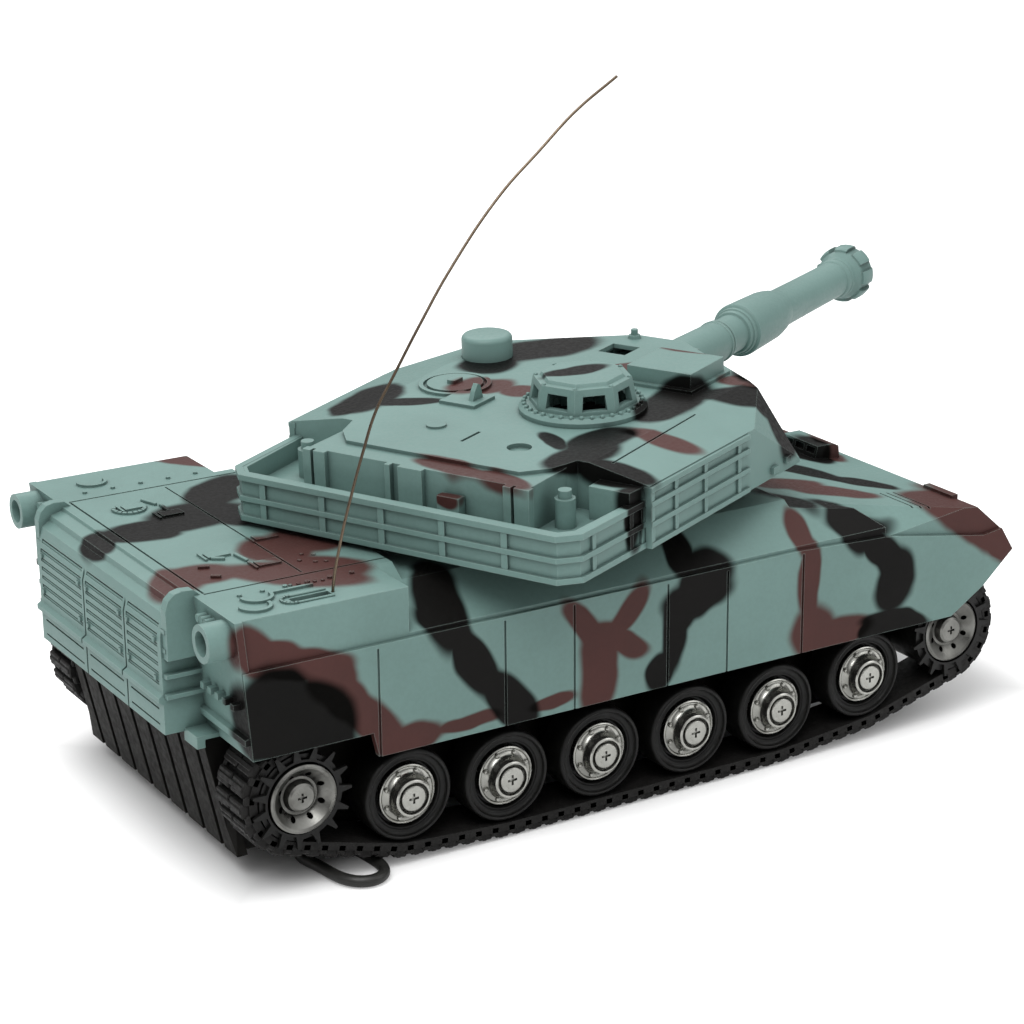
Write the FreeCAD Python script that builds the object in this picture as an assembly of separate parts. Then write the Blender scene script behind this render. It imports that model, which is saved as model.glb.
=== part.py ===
import FreeCAD, Part
import math
import os

# Toy radio-controlled tank with its drive, electrics and turret.  Millimetres, +X forward,
# +Y left, +Z up.  The origin is on the centre plane at mid-length of the hull; save() lifts
# every piece so that the ground is z = 0.  In every table "side" is -1 right, +1 left.
Vector = FreeCAD.Vector
os.makedirs("parts", exist_ok=True)
SIDES = ((-1, "right"), (1, "left"))

# ---------------------------------------------------------------- driving dimensions
# hull moulding
WALL = 2.0
SKIRT_Y = 64.0                      # outer face of the side skirts
SKIRT_T = 2.0
SKIRT_TOP = 59.0                    # step line between skirt and hull side
SIDE_Y = 63.0                       # hull side above the skirt step
DECK_Z = 68.5                       # turret platform
REAR_Z = 71.7                       # engine deck and sponson boxes
BREAK_X, BREAK_Z = 54.0, 66.7       # upper edge of the glacis
RIDGE_X, RIDGE_Z = 110.0, 60.0      # lower edge of the glacis
NOSE_X, NOSE_Z = 122.0, 46.0
FLANGE_Z0, FLANGE_Z1 = 41.9, 43.6   # joint between upper hull and chassis
CASE_SCREWS = [(80.0, 30.0), (80.0, -30.0), (-50.0, 37.2), (-50.0, -37.2)]   # x, y

# chassis tub
TUB_Y = 43.0                        # outer half width
TUB_Z = 4.0                         # underside of the floor
FLOOR_Z = TUB_Z + WALL              # top of the floor
WELL_X0, WELL_X1, WELL_Y = -58.0, 3.0, 31.5     # battery well: ends and half width
DOOR_SCREW_X = WELL_X1 + 6.0
BOARD_POSTS = [(24.0, -15.0), (24.0, 15.0), (64.0, -15.0), (64.0, 15.0)]     # x, y
BOARD_Z0, BOARD_Z1 = 22.0, 23.4

# battery cells
CELL_R, CELL_Z, CELL_PITCH = 7.1, 13.6, 14.8
CELL_X0 = WELL_X0 + 4.8
CELL_X1 = CELL_X0 + 49.0
CELL_TIP = 1.4                      # length of the raised end
CONTACT_GAP = 0.05

# running gear
TRACK_Y0, TRACK_Y1 = 45.4, 60.6
TRACK_T = 4.4                       # band plus pad
BAND_T = 2.2
PAD_T = TRACK_T - BAND_T
PAD_PITCH = 4.9
SPROCKET_X, SPROCKET_Z, SPROCKET_TRACK_R = -96.3, 23.2, 15.8    # radius outside the track
IDLER_X, IDLER_Z, IDLER_TRACK_R = 103.8, 24.9, 16.4
ROAD_Z = 14.4
ROAD_WHEELS = [(-66.5, 16.2), (-38.3, ROAD_Z), (-10.3, ROAD_Z),
               (17.6, ROAD_Z), (45.5, ROAD_Z), (75.0, 17.4)]    # x, z
ROAD_R = 12.2                       # road wheel tyre radius
ROAD_TRACK_R = ROAD_R + 0.2 + TRACK_T
GROUND = ROAD_Z - ROAD_TRACK_R      # height of the underside of the flat run of track
SPROCKET_R = SPROCKET_TRACK_R - TRACK_T - 0.3
IDLER_R = IDLER_TRACK_R - TRACK_T - 0.3
RIM_TEETH, RIM_TIP_R, RIM_ROOT_R = 15, 13.3, 9.9    # pointed teeth on sprocket and idler
PIN_R = 1.5                         # wheel pins and drive axles
BORE_R = 1.6                        # running bores
PINNED_WHEELS = ROAD_WHEELS + [(IDLER_X, IDLER_Z)]

# gear train, the same on both sides; (inner, outer) distances are from the centre plane
MODULE = 0.6
FINAL_TEETH, SMALL_TEETH, BIG_TEETH, PINION_TEETH = 36, 10, 30, 10
REDUCTION_X = SPROCKET_X + MODULE * (FINAL_TEETH + SMALL_TEETH) / 2.0
MOTOR_X = REDUCTION_X + MODULE * (BIG_TEETH + PINION_TEETH) / 2.0
GEAR_Z = SPROCKET_Z
FINAL_SPAN = (30.0, 34.0)
BIG_SPAN = (35.8, 38.2)
ADDENDUM, DEDENDUM = 0.8, 1.15      # in modules
BACKLASH = 0.16
PRESSURE_ANGLE = 25.0
BOX_X0, BOX_X1, BOX_TOP = -103.4, -62.4, 37.0       # gearbox case

# turret placing; its own frame has x forward and y left of the turret axis
TURRET_X = 28.0
TURRET_YAW = 26.0                   # rest direction, left of straight ahead
TURRET_PITCH = 2.2                  # the body sits slightly nose-up on its neck
NECK_Z = 73.0                       # height the body is tipped about
TURRET_Z = 77.0                     # underside
RAIL_Z = 89.35                      # top of the rear basket
SHOULDER_Z = 93.1                   # top of the side walls
ROOF_Z = 96.5
NECK_R = 30.0
SPIGOT_R = 15.0
SPIGOT_BORE_R = SPIGOT_R - 2.0
GUN_X, GUN_Z = 30.0, 86.8           # elevation axis
GUN_FACE_X = GUN_X + 14.0           # front of the mantlet
GUN_ROOT_R = 4.0                    # barrel root in the mantlet
BUTTON_X, BUTTON_Y, BUTTON_R, BUTTON_TOP = -1.9, 34.4, 7.1, 103.0
BUTTON_ROOM = BUTTON_TOP - 1.6      # ceiling inside the button
CUPOLA_X, CUPOLA_Y = -30.2, -13.9

# antenna centre line: x, z
ANTENNA_Y, ANTENNA_R = -56.5, 0.4
ANTENNA = [
    (-83.9, 62.0), (-83.9, 71.3), (-81.3, 84.1), (-78.0, 95.2), (-74.6, 105.2),
    (-71.1, 114.1), (-66.0, 122.2), (-58.1, 134.4), (-50.4, 145.4), (-36.5, 161.6),
    (-25.4, 171.1), (-15.6, 179.2), (-3.7, 186.6)]


# ---------------------------------------------------------------- helpers
def box(x0, x1, y0, y1, z0, z1):
    return Part.makeBox(x1 - x0, y1 - y0, z1 - z0, Vector(x0, y0, z0))


def side_box(x0, x1, side, near, far, z0, z1):
    """Box on one side, between two distances from the centre plane."""
    y0, y1 = sorted((side * near, side * far))
    return box(x0, x1, y0, y1, z0, z1)


def closed_wire(points):
    corners = [Vector(*point) for point in points]
    return Part.makePolygon(corners + [corners[0]])


def face(points):
    return Part.Face(closed_wire(points))


def prism_y(outline, y0, y1):
    return face([(x, y0, z) for x, z in outline]).extrude(Vector(0, y1 - y0, 0))


def prism_x(outline, x0, x1):
    return face([(x0, y, z) for y, z in outline]).extrude(Vector(x1 - x0, 0, 0))


def prism_z(outline, z0, z1):
    return face([(x, y, z0) for x, y in outline]).extrude(Vector(0, 0, z1 - z0))


def cyl(start, end, radius):
    axis = Vector(*end) - Vector(*start)
    return Part.makeCylinder(radius, axis.Length, Vector(*start), axis)


def x_cyl(x0, x1, y, z, radius):
    return cyl((x0, y, z), (x1, y, z), radius)


def y_cyl(x, y0, y1, z, radius):
    return cyl((x, y0, z), (x, y1, z), radius)


def z_cyl(x, y, z0, z1, radius):
    return cyl((x, y, z0), (x, y, z1), radius)


def cone(start, end, radius0, radius1):
    axis = Vector(*end) - Vector(*start)
    return Part.makeCone(radius0, radius1, axis.Length, Vector(*start), axis)


def half_space(point, normal, size=500.0):
    """Large block on the side of the plane that the normal points to."""
    block = Part.makeBox(size, size, size, Vector(-size / 2, -size / 2, 0))
    turn = FreeCAD.Rotation(Vector(0, 0, 1), Vector(*normal).normalize())
    block.Placement = FreeCAD.Placement(Vector(*point), turn)
    return block


def half_space_through(point0, point1, point2, outward):
    """Half space bounded by three points, on the outward side."""
    normal = (Vector(*point1) - Vector(*point0)).cross(Vector(*point2) - Vector(*point0))
    normal.normalize()
    if normal.dot(Vector(*outward)) < 0:
        normal = normal * -1
    return half_space(point0, (normal.x, normal.y, normal.z))


def fuse(shapes):
    result = shapes[0]
    if len(shapes) > 1:
        result = result.multiFuse(shapes[1:])
    return result.removeSplitter()


def cut(shape, tools):
    for tool in tools:
        shape = shape.cut(tool)
    return shape


def mirrored(shape):
    return shape.mirror(Vector(0, 0, 0), Vector(0, 1, 0))


def both(shape):
    return [shape, mirrored(shape)]


def revolve_y(profile, x, z, side):
    """Revolve a (radius, distance from centre plane) profile about the lateral line at x, z."""
    points = [(x + radius, side * y, z) for radius, y in profile]
    return face(points).revolve(Vector(x, 0, z), Vector(0, 1, 0), 360)


def circle_points(x, y, radius, count, start=0.0):
    """Points evenly spaced round a circle in any coordinate plane."""
    angles = [start + 2 * math.pi * k / count for k in range(count)]
    return [(x + radius * math.cos(angle), y + radius * math.sin(angle)) for angle in angles]


def tilted(shape):
    """Tip a turret piece nose-up on the neck."""
    shape = shape.copy()
    shape.rotate(Vector(0, 0, NECK_Z), Vector(0, 1, 0), -TURRET_PITCH)
    return shape


def on_hull(shape):
    """Yaw a turret piece and set it on the turret axis."""
    shape = shape.copy()
    shape.rotate(Vector(0, 0, 0), Vector(0, 0, 1), TURRET_YAW)
    shape.translate(Vector(TURRET_X, 0, 0))
    return shape


def save(name, shape):
    """Write one piece, moved so that the ground is z = 0."""
    solids = shape.Solids
    piece = (solids[0] if len(solids) == 1 else Part.makeCompound(solids)).copy()
    piece.translate(Vector(0, 0, -GROUND))
    assert piece.isValid(), name
    piece.exportStep("parts/%s.step" % name)


# ---------------------------------------------------------------- upper hull moulding
def hull_profile(inset):
    """Side outline (x, z) of the hull; an inset one runs down past the open underside."""
    bottom = FLANGE_Z1 if inset == 0 else 20.0
    step_x = -61.6 - 0.7 * inset
    break_x = BREAK_X - 0.4 * inset
    return [(-109.8 + inset, bottom), (-113.0 + inset, REAR_Z - inset),
            (step_x, REAR_Z - inset), (step_x, DECK_Z - inset),
            (break_x, DECK_Z - inset), (break_x, BREAK_Z - inset),
            (RIDGE_X - 0.5 * inset, RIDGE_Z - inset), (118.3 - inset, 52.7 - 0.5 * inset),
            (NOSE_X - 1.4 * inset, NOSE_Z), (118.6 - 1.4 * inset, bottom)]


def side_slopes(inset):
    """Blocks that remove the sloping right side, behind and ahead of a slanting crease."""
    (inner_x, inner_y), (outer_x, outer_y) = (67.6, -50.0), (76.6, -61.0)
    ahead = half_space((inner_x, inner_y, 0), (inner_y - outer_y, outer_x - inner_x, 0.0))
    low_y, low_z = -61.0 + inset, 61.3 - 0.2 * inset
    rear = half_space_through((0.0, low_y, low_z), (10.0, low_y, low_z),
                              (0.0, -50.0 + inset, 68.5 - 0.2 * inset), (0, -1, 1))
    rear = rear.common(box(-67.0, 200, -200, 0, 0, 200)).cut(ahead)
    front = half_space_through((67.6, -50.0 + inset, 65.0 - inset),
                               (110.0, -64.5 + inset, 60.0 - inset),
                               (76.6, -61.5 + inset, 58.0 - inset), (0, -1, 1))
    front = front.common(box(50, 200, -200, 0, 0, 200)).common(ahead)
    return [rear, front]


def hull_body(inset):
    body = prism_y(hull_profile(inset), -SIDE_Y + inset, SIDE_Y - inset)
    for slope in side_slopes(inset):
        body = cut(body, both(slope))
    return body


def skirt():
    """Right skirt with its vertical panel seams."""
    outline = [(-109.9, 36.6), (-77.9, 36.6), (-76.4, 30.15), (101.5, 30.3), (112.4, 37.1),
               (NOSE_X + 0.5, NOSE_Z), (118.3, 52.7), (111.8, 51.9), (77.6, 57.7),
               (70.2, 58.0), (50.0, SKIRT_TOP), (-111.6, SKIRT_TOP)]      # x, z
    seams = [box(x - 0.3, x + 0.3, -SKIRT_Y - 1, -SKIRT_Y + 0.45, 0, 58.0)
             for x in (-76.1, -40.8, -20.7, 7.5, 26.1, 50.3)]
    return cut(prism_y(outline, -SKIRT_Y, -SKIRT_Y + SKIRT_T), seams)


def rear_corner():
    """Right fender end wall, its lip and the small bumper inboard of it."""
    wall = prism_y([(-109.8, 36.6), (-113.0, REAR_Z), (-111.0, REAR_Z), (-107.8, 36.6)],
                   -SKIRT_Y + 0.4, -38.0)
    lip = prism_y([(-109.5, 40.6), (-111.6, 40.6), (-111.6, 42.2), (-109.5, 43.0)],
                  -SKIRT_Y + 0.4, -38.4)
    bumper = box(-115.8, -113.6, -45.4, -38.2, 34.4, 37.2).fuse(
        box(-115.8, -108.6, -45.4, -38.2, 36.5, 37.6))
    return both(wall) + both(lip) + both(bumper)


def rear_grille():
    """Slatted block across the middle of the rear, in three panels."""
    back_x = -121.0
    panels = ((-37.6, -17.6), (-16.4, 8.0), (9.2, 37.6))
    block = prism_y([
        (-109.0, 36.9), (back_x, 36.9), (back_x, 44.6), (-122.2, 45.4), (-122.2, 46.6),
        (back_x, 47.4), (back_x, 62.0), (-119.6, 67.6), (-117.4, 68.8), (-117.0, 70.2),
        (-113.8, 70.9), (-113.4, REAR_Z), (-109.0, REAR_Z)], -38.7, 38.7)
    cuts = []
    for y0, y1 in panels:
        for k in range(7):
            z = 49.2 + 2.45 * k
            # the upper slots reach further in, where the block leans forward
            lean = 0.0 if z < 62 else (z - 62.0) * 0.25
            cuts.append(box(back_x - 2, back_x + 1.3 + lean, y0 + 0.8, y1 - 0.8, z, z + 1.0))
        for z in (38.6, 42.6):
            cuts.append(box(back_x - 2, back_x + 0.5, y0 + 1.6, y1 - 1.6, z, z + 0.5))
    for y in (-17.0, 8.6):
        cuts.append(box(back_x - 3, back_x + 0.8, y - 0.4, y + 0.4, 36.0, 67.0))
    bolts = [box(back_x - 0.6, back_x + 0.6, y - 0.7, y + 0.7, z - 0.5, z + 0.5)
             for y0, y1 in panels for y in (y0 + 2.0, y1 - 2.0) for z in (51.0, 60.8)]
    return fuse([cut(block, cuts)] + bolts)


def grille_end_plate():
    """Ribbed plate at the right end of the grille."""
    plate = prism_y([
        (-111.0, 56.5), (-120.4, 56.5), (-120.4, 69.2), (-119.6, 71.4), (-118.0, 72.9),
        (-116.0, 73.4), (-113.0, 73.2), (-111.0, 71.5)], -41.2, -38.5)
    for z in (63.0, 58.2, 51.6, 46.4):
        plate = plate.fuse(box(-120.6, -110.5, -40.4, -38.0, z, z + 1.1))
    return plate


def rear_fittings():
    """Right rear tube, the coil beside it, and clips along the fender wall."""
    tube = x_cyl(-112.0, -119.2, -58.0, 66.2, 4.7)
    coil = fuse([x_cyl(-112.2, -115.2, -52.0 + 2.2 * k, 68.6, 1.0) for k in range(3)]
                + [x_cyl(-112.2, -114.8, -49.5, 65.6, 1.3)])
    clips = [box(-113.2, -110.8, y - 0.9, y + 0.9, 49.2, 50.8)
             for y in (-44.0, -48.0, -52.0, -56.0, -60.5)]
    return tube, coil, clips


def deck_details():
    """Raised details on the engine deck."""
    low = REAR_Z - 0.5
    details = [box(-97, -86, -50.6, -49.8, REAR_Z, REAR_Z + 0.7)]
    for y, row in ((-47.5, (-104, -98, -92, -86, -80, -74)), (46.5, (-104, -96, -88, -80, -72))):
        details += [z_cyl(x, y, low, REAR_Z + 0.55, 0.6) for x in row]
    # half rings
    for x, y in ((-104.0, -56.0), (-101.0, -50.5), (-99.0, 54.0)):
        ring = z_cyl(x, y, low, REAR_Z + 0.7, 4.2).cut(z_cyl(x, y, REAR_Z - 1, REAR_Z + 1, 3.3))
        details.append(ring.common(box(x - 6, x + 6, y - 6, y + 0.5, 60, 80)))
    # blocks, each with a narrow bar behind it
    for x, y in ((-98.0, 28.0), (-92.0, 18.0), (-96.0, -18.0), (-88.0, -30.0), (-80.0, -12.0)):
        details.append(box(x - 3, x + 3, y - 1.8, y + 1.8, low, REAR_Z + 0.6))
        details.append(box(x - 4.2, x - 3.6, y - 2.6, y + 2.6, low, REAR_Z + 0.6))
    return details


def deck_grooves():
    top = REAR_Z + 2
    grooves = [box(-110.5, -60.0, y - 0.35, y + 0.35, REAR_Z - 0.6, top) for y in (-41.6, 41.6)]
    grooves.append(box(-110.6, -110.0, -41.0, 41.0, REAR_Z - 0.6, top))
    grooves.append(box(-84.0, -83.5, -40.0, 40.0, REAR_Z - 0.5, top))
    return grooves


def glacis_z(x):
    return RIDGE_Z + (RIDGE_X - x) * (BREAK_Z - RIDGE_Z) / (RIDGE_X - BREAK_X)


def glacis_hood():
    """Hood on the front of the glacis, with three pockets front and rear."""
    hood = prism_y([(96.5, glacis_z(96.5) - 0.6), (105.5, glacis_z(105.5) - 0.6),
                    (105.0, 64.3), (103.0, 65.2), (97.5, 65.2)], -8.0, 8.0)
    pockets = [box(x0, x1, y - 1.9, y + 1.9, z0, z1)
               for x0, x1, z0, z1 in ((103.0, 108, 61.8, 64.2), (95, 98.0, 62.8, 64.5))
               for y in (-5.2, 0.0, 5.2)]
    return cut(hood, pockets)


def upper_hull():
    tube, coil, clips = rear_fittings()
    strip = box(108.4, 110.6, -54.0, -42.0, 59.0, 61.1)
    glacis_grooves = [box(x, x + 0.6, -60.5, -44.5, glacis_z(x) - 0.55, 70)
                      for x in (90.6, 92.9, 95.2)]
    glacis_grooves += [mirrored(groove) for groove in glacis_grooves]
    bosses = []
    for x, y in CASE_SCREWS:
        roof = glacis_z(x) if x > BREAK_X else DECK_Z
        bosses.append(z_cyl(x, y, FLANGE_Z1 + 0.1, roof - 0.8, 3.0))
    antenna_seat = box(-88.5, -80.9, -60.0, -53.0, 62.0, REAR_Z - WALL + 0.4)
    antenna_slot = box(-95.0, -84.6, -57.9, -55.2, 66.0, REAR_Z + 2)
    tube_bore = x_cyl(-114.0, -121.0, -58.0, 66.2, 3.1)

    hull = hull_body(0.0).cut(hull_body(WALL))
    hull = hull.cut(box(-140, 140, -70, 70, 0, FLANGE_Z1))
    hull = fuse([hull] + both(skirt()) + rear_corner() + both(grille_end_plate())
                + both(tube) + both(coil) + [rear_grille()]
                + clips + [mirrored(clip) for clip in clips])
    hull = hull.cut(box(-118.6, -100, -36.7, 36.7, 20.0, 66.0))     # hollow behind the grille
    hull = fuse([hull] + deck_details() + [glacis_hood()] + both(strip)
                + bosses + [antenna_seat])
    hull = cut(hull, deck_grooves() + glacis_grooves + both(tube_bore) + [antenna_slot])
    hull = cut(hull, [z_cyl(x, y, 40, 56, 1.25) for x, y in CASE_SCREWS])
    hull = cut(hull, [z_cyl(ANTENNA[0][0], ANTENNA_Y, 60, 80, ANTENNA_R)])
    return cut(hull, [z_cyl(TURRET_X, 0, 60, 80, SPIGOT_R + 0.1)])


def antenna_wire():
    """Straight foot, then a curve sweeping forward and up."""
    points = [Vector(x, ANTENNA_Y, z) for x, z in ANTENNA]
    curve = Part.BSplineCurve()
    curve.interpolate(points[1:], InitialTangent=Vector(0, 0, 1) * 10,
                      FinalTangent=Vector(11.9, 0, 7.4))
    path = Part.Wire([Part.makeLine(points[0], points[1]), curve.toShape()])
    section = Part.Wire([Part.makeCircle(ANTENNA_R, points[0], Vector(0, 0, 1))])
    return path.makePipeShell([section], True, False)


# ---------------------------------------------------------------- lower chassis tub
def tub_shell():
    """Tub with its joint flange and the ribbed, leaning rear plate."""
    flange_top = FLANGE_Z1 - 0.2
    tub = prism_y([(-106.5, 3.6), (-103.0, TUB_Z), (84.0, TUB_Z), (117.0, FLANGE_Z0),
                   (117.0, flange_top), (-107.6, flange_top), (-107.6, 36.2),
                   (-113.4, 36.2)], -TUB_Y, TUB_Y)
    hollow = prism_y([(-104.3, FLOOR_Z), (83.0, FLOOR_Z), (112.5, FLANGE_Z0), (114.5, 60.0),
                      (-105.6, 60.0), (-105.6, 34.8), (-110.9, 34.8)],
                     -TUB_Y + WALL, TUB_Y - WALL)
    flange_y = SIDE_Y - WALL - 0.3
    flange = box(-107.4, 112.0, -flange_y, flange_y, FLANGE_Z0, FLANGE_Z1 - 0.1)
    rear_plate = prism_y([(-106.5, 3.6), (-113.4, 36.2), (-110.4, 36.2), (-103.7, 3.6)],
                         -45.2, 45.2)
    for side, _ in SIDES:
        rear_plate = rear_plate.cut(
            half_space((-110.6, side * 39.5, 20.0), (-1.0, side * 0.72, 0.0)))
    grooves = []
    for k in range(8):
        y = 10.6 * (k - 3.5)
        grooves.append(prism_y([(-108.0, 1.0), (-115.2, 34.8), (-112.2, 34.8), (-105.0, 1.0)],
                               y - 1.0, y + 1.0))
    return cut(fuse([tub, flange, rear_plate]), [hollow] + grooves)


def lower_chassis():
    well_y = WELL_Y + 1.5
    chassis = fuse([tub_shell(),
                    box(WELL_X0 - 1.5, WELL_X1 + 1.5, -well_y, well_y, TUB_Z, 22.5)])
    chassis = chassis.cut(box(WELL_X0, WELL_X1, -WELL_Y, WELL_Y, 0, 21.0))

    posts = [z_cyl(x, y, TUB_Z, FLANGE_Z1 - 0.1, 4.0) for x, y in CASE_SCREWS]
    posts += [z_cyl(DOOR_SCREW_X, 0, TUB_Z, 16.0, 3.2)]
    posts += [z_cyl(x, y, TUB_Z + 1, BOARD_Z0, 2.2) for x, y in BOARD_POSTS]
    # stub bosses that carry the wheel pins
    posts += [y_cyl(x, side * (TUB_Y - WALL), side * 49.2, z, 3.4)
              for side, _ in SIDES for x, z in PINNED_WHEELS]
    chassis = fuse([chassis] + posts)

    # recess for the tab of the battery door
    cuts = [box(WELL_X1 - 0.2, WELL_X1 + 10.6, -7.2, 7.2, 0, TUB_Z + 1.2)]
    for x, y in CASE_SCREWS:
        cuts += [z_cyl(x, y, 0, 50, 1.6), z_cyl(x, y, 0, 32.0, 3.0)]
    cuts.append(z_cyl(DOOR_SCREW_X, 0, 0, 14.0, 1.25))
    for side, _ in SIDES:
        bores = [(x, z, PIN_R) for x, z in PINNED_WHEELS] + [(SPROCKET_X, SPROCKET_Z, BORE_R)]
        cuts += [y_cyl(x, side * (TUB_Y - 5), side * 60, z, radius) for x, z, radius in bores]
    cuts.append(box(36.0, 46.5, -26.0, -21.6, 0, 10))      # switch slot through the floor
    return cut(chassis, cuts)


# ---------------------------------------------------------------- battery door and power
def battery_door():
    gap = 0.25
    panel = box(WELL_X0 + gap, WELL_X1 - gap, -WELL_Y + gap, WELL_Y - gap, TUB_Z, TUB_Z + 1.8)
    tab = box(WELL_X1 - 1.0, WELL_X1 + 10.3, -6.9, 6.9, TUB_Z, TUB_Z + 1.0)
    ribs = [box(WELL_X0 + 8 + 9 * k, WELL_X0 + 12 + 9 * k, -18, 18, TUB_Z - 0.6, TUB_Z + 0.2)
            for k in range(5)]
    return fuse([panel, tab] + ribs).cut(z_cyl(DOOR_SCREW_X, 0, 0, 8, 1.6))


def cell_y(index):
    return CELL_PITCH * (index - 1.5)


def battery_cells():
    """Four cells lying fore and aft; even ones point their tips forward."""
    cells = []
    for k in range(4):
        y = cell_y(k)
        ends = (CELL_X1, CELL_X1 + CELL_TIP) if k % 2 == 0 else (CELL_X0 - CELL_TIP, CELL_X0)
        cells.append(fuse([x_cyl(CELL_X0, CELL_X1, y, CELL_Z, CELL_R),
                           x_cyl(*ends, y, CELL_Z, 2.7)]))
    return Part.makeCompound(cells)


def battery_contact(y, wall_x, cell_x, inward, at_tip):
    """Plate on the end wall with a nub for a tip, or a stack of discs for a flat end."""
    x0, x1 = sorted((wall_x, wall_x + inward * 0.5))
    plate = box(x0, x1, y - 5.5, y + 5.5, 8.0, 19.5)
    if at_tip:
        nub_x = cell_x - inward * (CELL_TIP + CONTACT_GAP)
        return fuse([plate, x_cyl(wall_x, nub_x, y, CELL_Z, 1.6)])
    disc_count = 3
    stack = [x_cyl(wall_x + inward * 0.2, cell_x - inward * CONTACT_GAP, y, CELL_Z, 1.4)]
    for k in range(disc_count):
        x = wall_x + inward * (0.9 + k * (abs(cell_x - wall_x) - 1.6) / disc_count)
        stack.append(x_cyl(x, x + inward * 0.5, y, CELL_Z, 4.4 - k * 0.7))
    return fuse([plate] + stack)


def battery_contacts():
    contacts = []
    for k in range(4):
        y = cell_y(k)
        contacts.append(battery_contact(y, WELL_X0, CELL_X0, 1, at_tip=k % 2 == 1))
        contacts.append(battery_contact(y, WELL_X1, CELL_X1, -1, at_tip=k % 2 == 0))
    return Part.makeCompound(contacts)


def receiver_board():
    top = BOARD_Z1
    return fuse([
        box(20.0, 68.0, -19.0, 19.0, BOARD_Z0, top),
        box(28.0, 40.0, -6.0, 6.0, top, 25.4),
        box(48.0, 54.0, -14.0, -8.0, top, 30.0),
        box(46.0, 60.0, 6.0, 12.0, top, 27.5),
        z_cyl(26.0, 9.0, top, 32.0, 2.6),
        z_cyl(34.0, 12.5, top, 30.0, 2.6),
        box(60.0, 65.0, -6.0, 3.0, top, 31.0),
        box(35.0, 47.5, -18.0, -14.0, top, 26.0)])


def switch_slider():
    """Knob through the floor slot, plate above the floor, two grip ridges below."""
    return fuse([box(37.0, 41.0, -25.7, -21.9, 2.4, 8.0),
                 box(34.6, 43.4, -27.5, -20.1, FLOOR_Z + 0.15, 8.2),
                 box(37.6, 38.2, -25.7, -21.9, 2.0, 2.6),
                 box(39.8, 40.4, -25.7, -21.9, 2.0, 2.6)])


# ---------------------------------------------------------------- gears and gearbox
def gear(teeth, side, near, far, phase, x):
    """Involute gear at x, tooth 0 centred on +X plus phase."""
    pitch_r = MODULE * teeth / 2.0
    tip_r = pitch_r + ADDENDUM * MODULE
    root_r = pitch_r - DEDENDUM * MODULE
    pressure = math.radians(PRESSURE_ANGLE)
    base_r = pitch_r * math.cos(pressure)
    # half the angle of a tooth, measured at the base circle
    half_tooth = ((math.pi * MODULE / 2.0 - BACKLASH) / (2.0 * pitch_r)
                  + math.tan(pressure) - pressure)
    start_r = max(base_r, root_r)
    flank = [(root_r, half_tooth)] if base_r > root_r else []
    for k in range(4):
        radius = start_r + (tip_r - start_r) * k / 3.0
        roll = math.acos(min(1.0, base_r / radius))
        flank.append((radius, half_tooth - (math.tan(roll) - roll)))
    polar = []
    for k in range(teeth):
        middle = phase + 2 * math.pi * k / teeth
        polar += [(radius, middle - angle) for radius, angle in flank]
        polar += [(radius, middle + angle) for radius, angle in reversed(flank)]
    outline = [(x + radius * math.cos(angle), GEAR_Z + radius * math.sin(angle))
               for radius, angle in polar]
    y0, y1 = sorted((side * near, side * far))
    return prism_y(outline, y0, y1)


def drive_axle(side):
    """Final gear with six lightening holes, on its axle and hub."""
    near, far = FINAL_SPAN
    wheel = gear(FINAL_TEETH, side, near, far, 0.0, SPROCKET_X)
    holes = [y_cyl(x, side * (near - 1), side * (far + 1), z, 1.9)
             for x, z in circle_points(SPROCKET_X, SPROCKET_Z, 6.2, 6)]
    return fuse([cut(wheel, holes),
                 y_cyl(SPROCKET_X, side * 4.0, side * 59.4, SPROCKET_Z, PIN_R),
                 y_cyl(SPROCKET_X, side * 28.0, side * 36.0, SPROCKET_Z, 2.6)])


def reduction_gear(side):
    small = gear(SMALL_TEETH, side, FINAL_SPAN[0] - 0.6, BIG_SPAN[0] + 0.2,
                 math.pi + math.pi / SMALL_TEETH, REDUCTION_X)
    big = gear(BIG_TEETH, side, BIG_SPAN[0], BIG_SPAN[1], 0.0, REDUCTION_X)
    return fuse([small, big]).cut(y_cyl(REDUCTION_X, side * 20, side * 45, GEAR_Z, 1.05))


def motor_pinion(side):
    pinion = gear(PINION_TEETH, side, BIG_SPAN[0] - 0.4, BIG_SPAN[1] + 0.4,
                  math.pi + math.pi / PINION_TEETH, MOTOR_X)
    return fuse([pinion, y_cyl(MOTOR_X, side * 16.0, side * 38.6, GEAR_Z, 1.0)])


def gearbox_case():
    """Floor plate and, on each side, inner, motor and outer plates and a reduction gear pin."""
    parts = [box(BOX_X0, BOX_X1, -40.8, 40.8, FLOOR_Z, FLOOR_Z + 1.6)]
    cuts = []
    for side, _ in SIDES:
        parts += [side_box(BOX_X0, BOX_X1, side, near, far, FLOOR_Z, BOX_TOP)
                  for near, far in ((39.2, 40.8), (1.6, 3.4), (26.9, 28.7))]
        parts.append(y_cyl(REDUCTION_X, side * 28.6, side * 40.0, GEAR_Z, 1.0))
        cuts += [y_cyl(SPROCKET_X, side * 1.0, side * 45.0, SPROCKET_Z, BORE_R),
                 y_cyl(MOTOR_X, side * 26.0, side * 30.0, GEAR_Z, 3.2),
                 side_box(-68.0, -60.0, side, 26.0, 29.5, 33.0, 40.0),
                 # clearance for the axle hub in the motor plate
                 y_cyl(SPROCKET_X, side * 25.5, side * 30.0, SPROCKET_Z, 3.0)]
    return cut(fuse(parts), cuts)


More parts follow.
